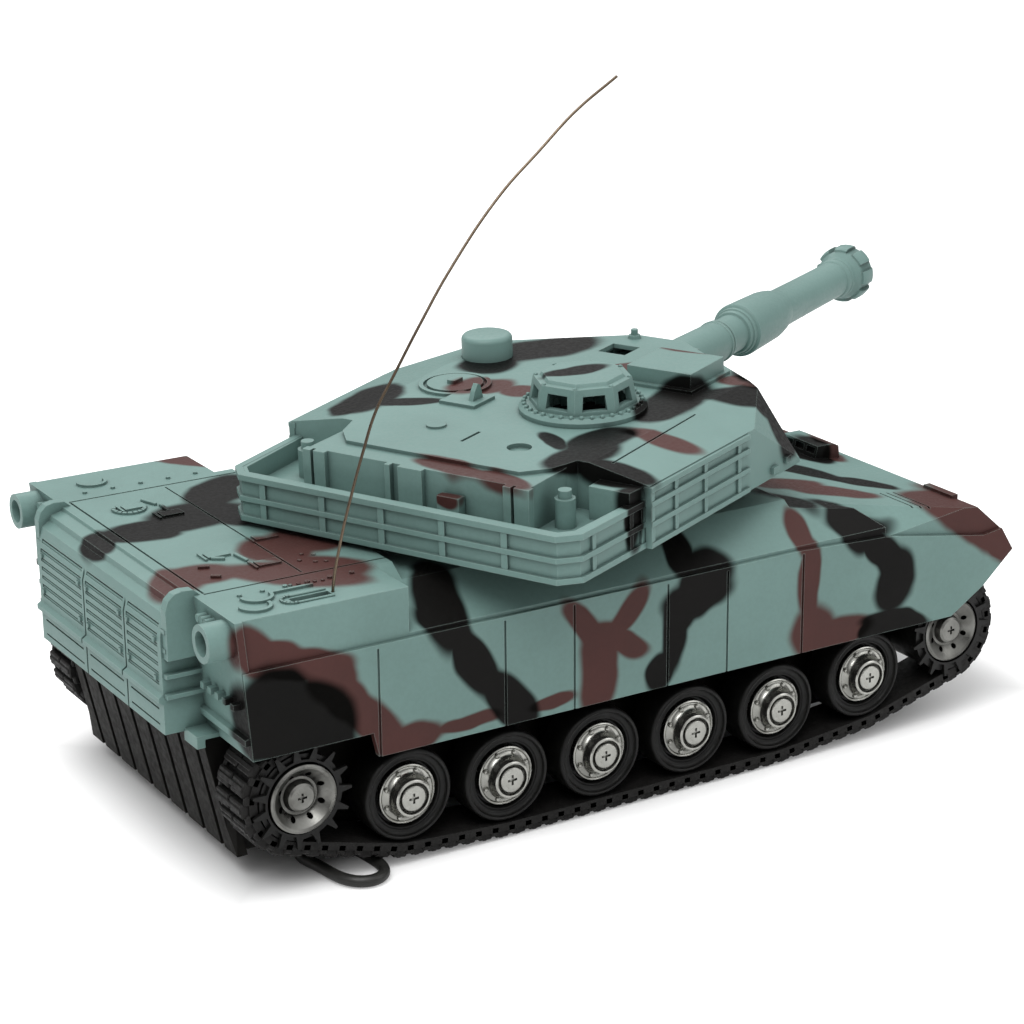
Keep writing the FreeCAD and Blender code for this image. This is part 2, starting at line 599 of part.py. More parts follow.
def drive_motors():
    """Two round cans flattened top and bottom, each with a boss and a shaft bore."""
    motors = []
    for side, _ in SIDES:
        can = y_cyl(MOTOR_X, side * 4.0, side * 26.4, GEAR_Z, 10.0)
        can = can.common(box(MOTOR_X - 12, MOTOR_X + 12, -40, 40, GEAR_Z - 7.5, GEAR_Z + 7.5))
        can = fuse([can, y_cyl(MOTOR_X, side * 26.2, side * 28.4, GEAR_Z, 3.0)])
        motors.append(can.cut(y_cyl(MOTOR_X, side * 15.5, side * 30.0, GEAR_Z, 1.08)))
    return Part.makeCompound(motors)


# ---------------------------------------------------------------- screws
def screw(x, y, shank, head, head_r, slot, slot_reach):
    """Upright screw, head down; shank, head and cross slot are (z0, z1) pairs."""
    body = fuse([z_cyl(x, y, *shank, 1.25), z_cyl(x, y, *head, head_r)])
    return cut(body, [box(x - slot_reach, x + slot_reach, y - 0.3, y + 0.3, *slot),
                      box(x - 0.3, x + 0.3, y - slot_reach, y + slot_reach, *slot)])


def case_screws():
    screws = [screw(x, y, shank=(32.0, 54.0), head=(29.8, 32.0), head_r=2.7,
                    slot=(29, 30.8), slot_reach=1.8) for x, y in CASE_SCREWS]
    screws.append(screw(DOOR_SCREW_X, 0, shank=(3.0, 13.0), head=(TUB_Z - 1.2, TUB_Z),
                        head_r=2.6, slot=(2.0, 3.4), slot_reach=1.7))
    return Part.makeCompound(screws)


# ---------------------------------------------------------------- wheels, caps and pins
def cross_bars(x, z, side, near, far, reach, half_width):
    return [side_box(x - reach, x + reach, side, near, far, z - half_width, z + half_width),
            side_box(x - half_width, x + half_width, side, near, far, z - reach, z + reach)]


def road_wheel(side, x, z):
    return revolve_y([
        (BORE_R, 49.6), (4.0, 49.6), (4.0, 53.0), (9.2, 53.0), (9.2, 50.6), (ROAD_R, 50.6),
        (ROAD_R, 59.4), (ROAD_R - 0.8, 60.2), (10.9, 60.2), (9.6, 58.6), (9.3, 57.4),
        (BORE_R, 57.4)], x, z, side)


def wheel_cap(side, x, z):
    """Cap with eight rivets round a hub that carries a cross and a ring groove."""
    cap = revolve_y([
        (0.0, 60.2), (4.0, 60.2), (4.0, 58.0), (5.0, 57.4), (8.9, 57.4), (8.9, 59.0),
        (8.5, 59.4), (7.9, 59.1), (5.6, 59.9), (5.2, 60.3), (5.0, 62.4), (4.6, 62.7),
        (0.0, 62.7)], x, z, side)
    rivets = [y_cyl(rivet_x, side * 58.4, side * 60.2, rivet_z, 0.75)
              for rivet_x, rivet_z in circle_points(x, z, 6.8, 8, math.pi / 8)]
    cross = fuse(cross_bars(x, z, side, 62.2, 64.0, 1.5, 0.35))
    groove = revolve_y([(3.3, 62.4), (3.8, 62.4), (3.8, 64.0), (3.3, 64.0)], x, z, side)
    return cut(fuse([cap] + rivets), [cross, groove])


def toothed_wheel(side, x, z, radius, bore):
    """Sprocket or idler: drum inside the track with a toothed rim on its outer face."""
    drum = revolve_y([
        (bore, 49.6), (4.2, 49.6), (4.2, 53.0), (radius - 2.6, 53.0), (radius - 2.6, 47.0),
        (radius, 47.0), (radius, 60.8), (10.0, 60.8), (9.4, 57.6), (bore, 57.6)], x, z, side)
    outline = []
    half_pitch = math.pi / RIM_TEETH
    # corners of one tooth: radius, angle in half pitches
    corners = ((RIM_ROOT_R, -1), (RIM_ROOT_R, -0.5), (RIM_TIP_R, -0.12), (RIM_TIP_R, 0.12),
               (RIM_ROOT_R, 0.5))
    for k in range(RIM_TEETH):
        for corner_r, turn in corners:
            angle = half_pitch * (2 * k + turn)
            outline.append((x + corner_r * math.cos(angle), z + corner_r * math.sin(angle)))
    y0, y1 = sorted((side * 60.4, side * 61.7))
    rim = prism_y(outline, y0, y1)
    rim = rim.cut(y_cyl(x, side * 59.0, side * 63.0, z, 9.3))
    # the teeth beyond the drum start at its outer face
    inner_face = [(radius - 0.2, 60.0), (15.0, 60.0), (15.0, 60.8), (radius - 0.2, 60.8)]
    return fuse([drum, rim.cut(revolve_y(inner_face, x, z, side))])


def wheel_disc(side, x, z, lift):
    """Dished disc in the sprocket or idler; lift moves its outer lip outwards."""
    radius = 8.8
    disc = revolve_y([
        (0.0, 60.4), (3.3, 60.4), (3.3, 59.4), (4.4, 57.6), (radius - 0.1, 57.6),
        (radius, 57.8), (radius, 61.5 + lift), (radius - 0.5, 61.8 + lift),
        (radius - 1.1, 61.5 + lift), (4.9, 59.6), (4.2, 59.6), (3.6, 61.2), (3.0, 61.6),
        (0.0, 61.6)], x, z, side)
    holes = [y_cyl(hole_x, side * 59.0, side * 64.0, hole_z, 0.7)
             for hole_x, hole_z in circle_points(x, z, 5.9, 8, math.pi / 8)]
    return cut(disc, cross_bars(x, z, side, 61.1, 64.0, 1.2, 0.3) + holes)


def wheel_pin(side, x, z, end):
    return fuse([y_cyl(x, side * (TUB_Y - WALL + 0.2), side * end, z, PIN_R),
                 y_cyl(x, side * (end - 0.3), side * (end + 1.2), z, 2.8)])


def wheel_pins():
    pins = []
    for side, _ in SIDES:
        pins += [wheel_pin(side, x, z, 57.8) for x, z in ROAD_WHEELS]
        pins.append(wheel_pin(side, IDLER_X, IDLER_Z, 58.0))
    return Part.makeCompound(pins)


# ---------------------------------------------------------------- tracks
def track_path(inset):
    """Pieces of the loop round the wheels, inset from the outside of the track.

    Each is (length, outward angle at its start, sweep, place); place is (start, end) for a
    straight run, whose sweep is 0, and (x, z, radius) for an arc.
    """
    circles = [(SPROCKET_X, SPROCKET_Z, SPROCKET_TRACK_R - inset)]
    circles += [(x, z, ROAD_TRACK_R - inset) for x, z in ROAD_WHEELS]
    circles += [(IDLER_X, IDLER_Z, IDLER_TRACK_R - inset)]
    runs = []
    for k, (x0, z0, radius0) in enumerate(circles):
        x1, z1, radius1 = circles[(k + 1) % len(circles)]
        distance = math.hypot(x1 - x0, z1 - z0)
        # the tangent lies to the right of travel, with the wheels on the left
        angle = (math.atan2(z1 - z0, x1 - x0) - math.pi / 2
                 - math.asin((radius1 - radius0) / distance))
        start = (x0 + radius0 * math.cos(angle), z0 + radius0 * math.sin(angle))
        end = (x1 + radius1 * math.cos(angle), z1 + radius1 * math.sin(angle))
        runs.append((start, end, angle))
    pieces = []
    for k, (start, end, angle) in enumerate(runs):
        after = (k + 1) % len(runs)
        length = math.hypot(end[0] - start[0], end[1] - start[1])
        pieces.append((length, angle, 0.0, (start, end)))
        sweep = (runs[after][2] - angle) % (2 * math.pi)
        # wheels along the flat run turn the track through no angle
        if 1e-6 < sweep < 2 * math.pi - 1e-6:
            pieces.append((circles[after][2] * sweep, angle, sweep, circles[after]))
    return pieces


def point_on(piece, fraction):
    """x, z and outward angle part of the way along a piece of the path."""
    _, angle, sweep, place = piece
    if sweep == 0.0:
        (x0, z0), (x1, z1) = place
        return x0 + (x1 - x0) * fraction, z0 + (z1 - z0) * fraction, angle
    x, z, radius = place
    angle += sweep * fraction
    return x + radius * math.cos(angle), z + radius * math.sin(angle), angle


def track_face(inset, y):
    edges = []
    for piece in track_path(inset):
        points = []
        for fraction in (0.0, 0.5, 1.0):
            x, z, _ = point_on(piece, fraction)
            points.append(Vector(x, y, z))
        if piece[2] == 0.0:
            edges.append(Part.makeLine(points[0], points[2]))
        else:
            edges.append(Part.Arc(*points).toShape())
    return Part.Face(Part.Wire(Part.__sortEdges__(edges)))


def pad_places():
    """Evenly spaced points round the outside of the band, at about PAD_PITCH."""
    pieces = track_path(PAD_T)
    total = sum(piece[0] for piece in pieces)
    count = int(round(total / PAD_PITCH))
    places = []
    for k in range(count):
        travel = (k + 0.5) * total / count
        for piece in pieces:
            if travel <= piece[0]:
                places.append(point_on(piece, travel / piece[0]))
                break
            travel -= piece[0]
    return places


def track(side):
    y0, y1 = sorted((side * TRACK_Y0, side * TRACK_Y1))
    across = Vector(0, y1 - y0, 0)
    band = track_face(PAD_T, y0).extrude(across).cut(track_face(TRACK_T, y0).extrude(across))
    pads = []
    for x, z, angle in pad_places():
        pad = box(-0.3, PAD_T, y0, y1, -1.75, 1.75)
        pad.rotate(Vector(0, 0, 0), Vector(0, 1, 0), -math.degrees(angle))
        pad.translate(Vector(x, 0, z))
        pads.append(pad)
    return band.multiFuse(pads)


def cord_loop():
    """Cord lying on the ground at the right rear, with a lug under the tub."""
    lie_z = GROUND + 1.55
    # x, y, height above the lying cord
    course = [
        (-84.5, -35.0, 2.2), (-86.6, -38.6, 1.2), (-88.6, -43.0, 0), (-88.2, -50.0, 0),
        (-87.0, -56.8, 0), (-85.6, -61.8, 0), (-83.0, -64.9, 0), (-79.6, -65.8, 0),
        (-76.2, -64.0, 0), (-74.6, -60.0, 0), (-74.8, -54.0, 0), (-76.0, -47.0, 0),
        (-77.4, -42.6, 0), (-79.0, -38.4, 1.2), (-80.4, -35.0, 2.2)]
    points = [Vector(x, y, lie_z + rise) for x, y, rise in course]
    curve = Part.BSplineCurve()
    curve.interpolate(points)
    path = Part.Wire([curve.toShape()])
    heading = curve.tangent(curve.FirstParameter)[0]
    section = Part.Wire([Part.makeCircle(1.5, points[0], heading)])
    cord = path.makePipeShell([section], True, True)
    lug = box(-87.0, -78.0, -38.0, -32.0, lie_z + 0.2, TUB_Z)
    return fuse([cord, lug]).cut(box(-120, -60, -80, 0, TUB_Z, 20))


# ---------------------------------------------------------------- turret shell
# Everything from here on is in the turret's own frame until tilted() and on_hull().
def turret_block(block, nose_x, inset=0.0):
    """Trim a block to the flared sides, sloped shoulders, front cheeks and leaning nose."""
    planes = [      # three points and the outward direction, on the right side
        # flared side wall
        ((-66.0, -54.4 + inset, 70.0), (-21.0, -56.2 + inset, 70.0),
         (-66.0, -54.4 + inset, 100.0), (0, -1, 0)),
        # shoulder from the roof edge to the top of the side wall
        ((-66.0, -37.5, ROOF_Z - inset), (0.0, -40.5, ROOF_Z - inset),
         (-66.0, -54.4, SHOULDER_Z - inset), (0, -1, 2)),
        # front corner of the side, leaning in
        ((8.0, -57.2 + inset, 78.5), (8.0, -45.0 + inset, 95.5),
         (-14.0, -56.4 + inset, 92.2), (0, -1, 0.5)),
        # cheek
        ((8.0 - inset, -57.2, 78.5), (8.6 - inset, -44.6, 95.5),
         (34.0 - inset, -9.0, 96.0), (1, -0.5, 0))]
    for plane in planes:
        block = cut(block, both(half_space_through(*plane)))
    return block.cut(half_space((nose_x, 0, 86.0), (1, 0, 0.12)))


def symmetric(outline):
    """Close a right-hand (x, y) outline, listed tail to nose, with its mirror image."""
    return outline + [(x, -y) for x, y in reversed(outline)]


def basket_rail(z0, z1, out):
    outer = symmetric([(-97.0 - out, -47.2), (-93.2, -51.0 - out), (-66.0, -52.5 - out)])
    inner = symmetric([(-96.0, -46.6), (-92.6, -50.0), (-60.0, -51.7)])
    return prism_z(outer, z0, z1).cut(prism_z(inner, z0 - 1, z1 + 1))


def turret_rails():
    """Rails and posts round the rear basket and along the side walls."""
    rails = [basket_rail(RAIL_Z - 1.5, RAIL_Z + 0.1, 1.0), basket_rail(82.4, 83.8, 0.9),
             basket_rail(TURRET_Z, TURRET_Z + 1.5, 0.9)]
    rails += [box(-97.7, -96.2, y - 0.9, y + 0.9, TURRET_Z, RAIL_Z)
              for y in (40.0, 21.5, 3.5, -14.5, -32.5)]

    def wall_y(x):
        return 54.4 + (x + 66.0) * 0.04

    for side, _ in SIDES:
        for x in (-88.0, -72.0, -67.0):
            y = 51.0 + (x + 93.2) * (1.5 / 27.2)
            rails.append(side_box(x - 0.8, x + 0.8, side, y - 1.0, y + 0.6, TURRET_Z, RAIL_Z))
        for z in (SHOULDER_Z - 1.6, 87.8, 82.6, TURRET_Z + 0.2):
            rear_y, front_y = wall_y(-66), wall_y(-19)
            rails.append(prism_z([(-66.2, side * (rear_y - 1.5)), (-66.2, side * (rear_y + 0.8)),
                                  (-19.0, side * (front_y + 0.8)),
                                  (-19.0, side * (front_y - 1.5))], z, z + 1.3))
        for x in (-65.4, -54.5, -40.5, -24.0):
            y = wall_y(x)
            rails.append(side_box(x - 0.8, x + 0.8, side, y - 1.2, y + 0.6,
                                  TURRET_Z, SHOULDER_Z - 0.5))
    return rails


def turret_fittings():
    # canisters and boxes on the rear tray
    parts = []
    for x, y in ((-78.0, 40.0), (-78.5, -38.0)):
        parts += [z_cyl(x, y, 83.0, 91.5, 2.6), z_cyl(x, y, 91.0, 93.6, 1.7)]
    parts.append(box(-89.8, -87.0, -14.5, -8.0, 83.0, 90.6))
    parts.append(prism_z([(-71.5, -52.0), (-71.5, -40.5), (-60.0, -40.5), (-60.0, -53.0)],
                         83.0, 92.6))
    # gunner's sight housing and its foot, right front of the roof
    parts.append(box(-5.6, 12.6, -32.2, -12.8, ROOF_Z - 1.0, 101.5))
    parts.append(box(-7.2, 13.8, -33.4, -12.0, ROOF_Z - 3.0, ROOF_Z + 0.9))
    # loader's hatch: raised ring, inner lid and handle
    x, y = -29.0, 27.0
    parts.append(z_cyl(x, y, ROOF_Z - 1.5, ROOF_Z + 0.8, 9.8).cut(
        z_cyl(x, y, ROOF_Z - 3, ROOF_Z + 2, 8.6)))
    parts.append(z_cyl(x, y, ROOF_Z - 1.5, ROOF_Z + 1.0, 7.6))
    parts.append(box(x - 2, x + 2, y - 1.2, y + 1.2, ROOF_Z, ROOF_Z + 2.0))
    # plate with an upright fin, and a low round behind it
    parts.append(box(-44.0, -34.0, 11.0, 22.0, ROOF_Z - 1, ROOF_Z + 0.9))
    parts.append(prism_y([(-41.5, ROOF_Z), (-36.0, ROOF_Z), (-37.4, ROOF_Z + 4.6),
                          (-38.6, ROOF_Z + 5.2), (-40.0, ROOF_Z + 3.4)], 13.2, 14.6))
    parts.append(z_cyl(-60.0, 12.0, ROOF_Z - 1, ROOF_Z + 0.6, 2.6))
    # pintle stub near the front of the roof
    parts.append(cone((31.5, 6.6, ROOF_Z - 2.4), (31.5, 6.6, ROOF_Z + 1.0), 2.6, 1.6))
    parts.append(z_cyl(31.5, 6.6, ROOF_Z, ROOF_Z + 2.6, 1.0))
    # front corner hooks on the sides
    parts += [side_box(x - 1.4, x + 1.4, side, 55.0, 57.9, z - 1.2, z + 0.6)
              for side, _ in SIDES for x, z in ((-6.0, 79.6), (1.0, 80.4))]
    return parts


def turret_shell():
    body = turret_block(box(-66.0, 40.0, -60.0, 60.0, TURRET_Z, ROOF_Z), 36.0)
    bustle = box(-86.6, -60.0, -33.0, 33.0, TURRET_Z + 1, ROOF_Z - 1.0)
    ribs = [box(-88.2, -86.0, y0, y1, TURRET_Z + 6, ROOF_Z - 1.0)
            for y0, y1 in ((-33.8, -29.5), (-28.6, -26.4), (-2.6, 4.6), (7.0, 8.6),
                           (27.0, 30.5), (31.4, 33.8))]
    roof_plate = prism_z(symmetric([(-80.0, -26.0), (-74.0, -31.5), (-60.0, -36.0),
                                    (-40.0, -38.0)]), TURRET_Z + 2, ROOF_Z)
    tray = prism_z(symmetric([(-97.0, -47.0), (-93.0, -51.0), (-60.0, -52.8)]),
                   TURRET_Z, RAIL_Z)
    tray = tray.cut(prism_z(symmetric([(-95.0, -46.0), (-92.0, -49.0), (-66.0, -50.8)]),
                            84.0, RAIL_Z + 5))
    shell = fuse([body, bustle, roof_plate, tray] + ribs)

    low = TURRET_Z - 5
    body_hollow = turret_block(box(-64.0, 38.0, -60.0, 60.0, low, ROOF_Z - WALL), 33.8, WALL)
    bustle_hollow = box(-84.6, -60.0, -31.0, 31.0, low, ROOF_Z - 3.0)
    tray_hollow = prism_z(symmetric([(-95.0, -46.2), (-92.2, -49.0), (-60.0, -50.6)]),
                          low, 82.2)
    shell = cut(shell, [body_hollow, bustle_hollow, tray_hollow])
    shell = fuse([shell] + turret_rails() + turret_fittings())
    # the fittings reach through the wall, so the inside is cleared again
    shell = cut(shell, [body_hollow, bustle_hollow])

    openings = [
        box(20.0, 60.0, -9.6, 9.6, TURRET_Z - 1, ROOF_Z - 1.3),             # gun port
        box(15.8, 24.2, 0.6, 9.2, ROOF_Z - 4, ROOF_Z + 4),                  # roof slot
        z_cyl(BUTTON_X, BUTTON_Y, 86, 110, BUTTON_R + 0.12),
        z_cyl(CUPOLA_X, CUPOLA_Y, 90, 110, 12.0),
        z_cyl(-64.3, -16.0, ROOF_Z - 1.2, 110, 3.2),                        # round recess
        box(-67.2, -58.6, -0.9, 0.0, ROOF_Z - 0.9, ROOF_Z + 3),             # rear roof groove
        box(-62.0, -20.0, -41.8, -41.3, ROOF_Z - 2.4, ROOF_Z + 3)]          # shoulder groove
    shell = cut(shell, openings)
    trunnions = [side_box(GUN_X - 4.5, GUN_X + 3.6, side, 9.8, 13.0, GUN_Z - 5.0, ROOF_Z - 1.0)
                 for side, _ in SIDES]
    return fuse([shell] + trunnions).cut(y_cyl(GUN_X, -14.0, 14.0, GUN_Z, 2.1))


def turret_base():
    """Tilted closing plate, upright neck, and split spigot with a snap barb."""
    outline = symmetric([(-94.6, -45.8), (-91.8, -48.6), (-63.6, -50.1), (-63.6, -51.8),
                         (-20.0, -53.8), (4.0, -54.2), (24.0, -27.0)])
    spring_ring = z_cyl(BUTTON_X, BUTTON_Y, TURRET_Z + 1, TURRET_Z + 3.2, 6.3).cut(
        z_cyl(BUTTON_X, BUTTON_Y, TURRET_Z + 1.5, TURRET_Z + 4, 5.5))
    plate = tilted(fuse([prism_z(outline, TURRET_Z + 0.3, TURRET_Z + 2.1), spring_ring]))
    neck = z_cyl(0, 0, DECK_Z + 0.2, 77.6, NECK_R)
    neck = neck.cut(z_cyl(0, 0, DECK_Z + 2.2, 90, NECK_R - 2.2))
    spigot = z_cyl(0, 0, 62.0, DECK_Z + 2.2, SPIGOT_R).cut(
        z_cyl(0, 0, 60.0, DECK_Z + 3, SPIGOT_BORE_R))
    barb = cone((0, 0, 62.0), (0, 0, 65.9), SPIGOT_R - 0.6, SPIGOT_R + 1.3).cut(
        z_cyl(0, 0, 60.0, 80, SPIGOT_BORE_R))
    slits = [box(-30, 30, -1.2, 1.2, 60.0, 66.2), box(-1.2, 1.2, -30, 30, 60.0, 66.2)]
    base = fuse([plate, neck, cut(fuse([spigot, barb]), slits)])
    return base.cut(z_cyl(0, 0, 60.0, DECK_Z + 5, SPIGOT_BORE_R))


def octagon_loft(radius0, z0, radius1, z1):
    wires = [closed_wire([(x, y, z) for x, y in circle_points(0, 0, radius, 8, math.pi / 8)])
             for radius, z in ((radius0, z0), (radius1, z1))]
    return Part.makeLoft(wires, True, True)


def commander_cupola():
    """Octagonal drum with eight windows and a lid, on a studded flange with a plug below."""
    low, high = ROOF_Z + 2.2, ROOF_Z + 9.0
    flange_z = ROOF_Z + 1.2
    drum = octagon_loft(14.3, low, 13.0, high)
    hollow = octagon_loft(12.5, low - 6, 11.6, high - 1.4)
    lid = octagon_loft(11.4, high - 0.1, 10.6, high + 0.9)
    flange = z_cyl(0, 0, ROOF_Z, flange_z, 16.8).fuse(
        cone((0, 0, flange_z), (0, 0, low), 16.8, 15.8))
    plug = z_cyl(0, 0, ROOF_Z - 2.6, ROOF_Z + 0.5, 11.95)
    cupola = fuse([drum, lid, flange, plug])
    cupola = cut(cupola, [hollow, z_cyl(0, 0, ROOF_Z - 5, ROOF_Z + 2.4, 10.4)])
    windows = []
    for k in range(8):
        window = prism_x([(-3.3, low + 1.0), (3.3, low + 1.0), (2.9, high - 1.9),
                          (-2.9, high - 1.9)], 8.0, 18.0)
        window.rotate(Vector(0, 0, 0), Vector(0, 0, 1), 45 * k)
        windows.append(window)
    studs = [z_cyl(x, y, ROOF_Z + 1.0, ROOF_Z + 2.5, 0.55)
             for x, y in circle_points(0, 0, 15.4, 36)]
    cupola = fuse([cut(cupola, windows)] + studs)
    cupola.translate(Vector(CUPOLA_X, CUPOLA_Y, 0))
    return cupola


def fire_button():
    """Hollow push button with a bevelled top, a retaining collar and a centre post."""
    bevel = 0.8
    edge_z = BUTTON_TOP - bevel
    button = fuse([z_cyl(0, 0, 91.8, edge_z, BUTTON_R),
                   cone((0, 0, edge_z), (0, 0, BUTTON_TOP), BUTTON_R, BUTTON_R - bevel),
                   z_cyl(0, 0, 91.8, 93.0, 8.4)])
    button = button.cut(z_cyl(0, 0, 80.0, BUTTON_ROOM, BUTTON_R - 1.3))
    button = button.fuse(z_cyl(0, 0, 90.0, BUTTON_TOP - 1.0, 2.0))
    button.translate(Vector(BUTTON_X, BUTTON_Y, 0))
    return button


def button_spring():
    """Faceted helix between the turret base and the button ceiling."""
    coil_r, wire_r = 4.6, 0.4
    turns, steps, facets = 8, 12, 6
    z0, z1 = TURRET_Z + 2.1 + 0.42, BUTTON_ROOM - 0.42
    section = circle_points(coil_r, 0, wire_r, facets)      # radius, z
    rings = []
    for k in range(turns * steps + 1):
        angle = 2 * math.pi * k / steps
        rise = (z1 - z0) * k / (turns * steps)
        rings.append([Vector(radius * math.cos(angle), radius * math.sin(angle), rise + z)
                      for radius, z in section])
    triangles = []
    for ring, following in zip(rings, rings[1:]):
        for j in range(facets):
            after = (j + 1) % facets
            triangles.append((ring[j], ring[after], following[after]))
            triangles.append((ring[j], following[after], following[j]))
    for ring, order in ((rings[0], -1), (rings[-1], 1)):
        for j in range(1, facets - 1):
            triangles.append((ring[0], ring[j], ring[j + 1])[::order])
    spring = Part.makeSolid(Part.makeShell([face(corners) for corners in triangles]))
    if spring.Volume < 0:
        spring.reverse()
    spring.translate(Vector(BUTTON_X, BUTTON_Y, z0))
    return spring


# ---------------------------------------------------------------- gun
def gun_mantlet():
    """Round-backed block on trunnion pins, bored for the barrel."""
    drum = y_cyl(GUN_X, -9.2, 9.2, GUN_Z, 6.6).common(box(0, 60, -9.2, 9.2, 70, 95.0))
    mantlet = fuse([drum,
                    box(GUN_X, GUN_X + 10.5, -8.6, 8.6, GUN_Z - 6.4, GUN_Z + 6.2),
                    y_cyl(GUN_X, -12.6, 12.6, GUN_Z, 2.0)])
    collar = cone((GUN_X + 10.4, 0, GUN_Z), (GUN_FACE_X, 0, GUN_Z), 6.3, 5.9)
    return fuse([mantlet, collar]).cut(x_cyl(GUN_X + 2.0, GUN_X + 30, 0, GUN_Z, GUN_ROOT_R))


def gun_barrel():
    """Stepped barrel, bored from the muzzle, with eight notches round the muzzle ring."""
    # x, radius
    profile = [
        (GUN_X + 2.0, 0.0), (GUN_X + 2.0, GUN_ROOT_R), (GUN_FACE_X, GUN_ROOT_R),
        (GUN_FACE_X, 6.3), (66.2, 5.9), (66.2, 6.3), (67.0, 6.3), (67.0, 5.7), (67.8, 5.7),
        (67.8, 6.1), (68.6, 6.1), (68.6, 5.5), (77.0, 5.6), (77.0, 6.4), (78.2, 6.6),
        (78.2, 7.1), (79.4, 7.2), (79.4, 7.7), (80.2, 8.0), (97.0, 7.6), (101.0, 7.0),
        (105.0, 5.9), (143.0, 5.7), (143.0, 6.3), (147.5, 6.3), (148.3, 7.4), (150.0, 8.7),
        (154.5, 8.9), (157.4, 7.4), (157.4, 3.6), (120.0, 3.6), (120.0, 0.0)]
    barrel = face([(x, 0, GUN_Z + radius) for x, radius in profile])
    barrel = barrel.revolve(Vector(0, 0, GUN_Z), Vector(1, 0, 0), 360)
    notches = []
    for k in range(8):
        notch = box(149.0, 156.0, -1.3, 1.3, 7.6, 10.0)
        notch.rotate(Vector(0, 0, 0), Vector(1, 0, 0), 45 * k + 22.5)
        notch.translate(Vector(0, 0, GUN_Z))
        notches.append(notch)
    return cut(barrel, notches)


# ---------------------------------------------------------------- write the pieces
for build in (upper_hull, antenna_wire, lower_chassis, battery_door, battery_cells,
              battery_contacts, receiver_board, switch_slider, gearbox_case, drive_motors,
              case_screws, wheel_pins, cord_loop):
    save(build.__name__, build())

for side, tag in SIDES:
    for build in (drive_axle, reduction_gear, motor_pinion, track):
        save("%s_%s" % (build.__name__, tag), build(side))
    for number, (x, z) in enumerate(ROAD_WHEELS, 1):
        save("road_wheel_%s_%d" % (tag, number), road_wheel(side, x, z))
        save("wheel_cap_%s_%d" % (tag, number), wheel_cap(side, x, z))
    for name, x, z, radius, bore, lift in (
            ("sprocket", SPROCKET_X, SPROCKET_Z, SPROCKET_R, PIN_R, 0.8),
            ("idler", IDLER_X, IDLER_Z, IDLER_R, BORE_R, 0.0)):
        save("%s_%s" % (name, tag), toothed_wheel(side, x, z, radius, bore))
        save("%s_disc_%s" % (name, tag), wheel_disc(side, x, z, lift))

save("turret_base", on_hull(turret_base()))     # only its plate is tilted
for build in (turret_shell, commander_cupola, fire_button, button_spring,
              gun_mantlet, gun_barrel):
    save(build.__name__, on_hull(tilted(build())))
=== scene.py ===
"""Looks for a toy tank: camouflaged hull and turret, tracks, wheels, gun and small fittings.

The tank stands on the ground plane with its front towards +X, its left side towards +Y and
+Z up. The turret is yawed towards +Y and tilted slightly nose up. Sizes are millimetres
(multiplied by MM on the way into the scene); shader distances are metres.
"""

import math
from fnmatch import fnmatchcase

import bmesh
import bpy
from mathutils import Matrix, Vector

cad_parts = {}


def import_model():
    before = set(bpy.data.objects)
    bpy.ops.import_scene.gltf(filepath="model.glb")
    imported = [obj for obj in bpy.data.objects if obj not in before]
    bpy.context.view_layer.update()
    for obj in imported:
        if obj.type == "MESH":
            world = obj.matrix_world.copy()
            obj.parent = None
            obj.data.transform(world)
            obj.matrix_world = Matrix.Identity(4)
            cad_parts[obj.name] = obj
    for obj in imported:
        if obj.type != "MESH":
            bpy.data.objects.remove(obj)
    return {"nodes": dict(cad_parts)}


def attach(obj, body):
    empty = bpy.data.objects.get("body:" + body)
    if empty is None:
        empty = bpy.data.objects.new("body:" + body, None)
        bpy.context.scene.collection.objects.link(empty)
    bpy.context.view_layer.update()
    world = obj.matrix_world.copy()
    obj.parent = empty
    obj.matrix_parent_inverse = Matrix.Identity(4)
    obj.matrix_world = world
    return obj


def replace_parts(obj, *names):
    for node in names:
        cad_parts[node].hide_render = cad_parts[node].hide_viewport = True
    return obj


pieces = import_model()["nodes"]
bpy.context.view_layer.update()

MM = 0.001
LIFT = 2.4                    # added to measured heights to reach frame heights
SIDES = ((-1, "right"), (1, "left"))

TURRET_X = 28.0               # turret pivot
TURRET_YAW = math.radians(26.0)
TURRET_PITCH = math.radians(2.2)
NECK = 73.0                   # height of the pivot
ROOF = 96.5                   # turret roof, in turret heights
CUPOLA = (-30.2, -13.9)       # cupola centre, in turret x, y
DECK = 71.7 + LIFT            # rear deck


def mm(x, y, z):
    return Vector((x, y, z)) * MM


def polar(radius, angle, z):
    return mm(radius * math.cos(angle), radius * math.sin(angle), z)


def turret_point(x, y, z):
    """Turret millimetres to frame metres."""
    rise = z - NECK
    ahead = x * math.cos(TURRET_PITCH) - rise * math.sin(TURRET_PITCH)
    height = x * math.sin(TURRET_PITCH) + rise * math.cos(TURRET_PITCH) + NECK
    return mm(ahead * math.cos(TURRET_YAW) - y * math.sin(TURRET_YAW) + TURRET_X,
              ahead * math.sin(TURRET_YAW) + y * math.cos(TURRET_YAW),
              height + LIFT)


TURRET = (Matrix.Translation(turret_point(0, 0, 0)) @ Matrix.Rotation(TURRET_YAW, 4, "Z")
          @ Matrix.Rotation(-TURRET_PITCH, 4, "Y"))

# ------------------------------------------------------------------ shader helpers
EDGE_HIGHLIGHT = (0.62, 0.78, 0.72, 1.0)     # painted highlight: pale colour laid on open edges


def srgb(*channels):
    """8-bit sRGB channels to linear RGBA."""
    def linear(c):
        c /= 255.0
        return c / 12.92 if c <= 0.04045 else ((c + 0.055) / 1.055) ** 2.4
    return (*map(linear, channels), 1.0)


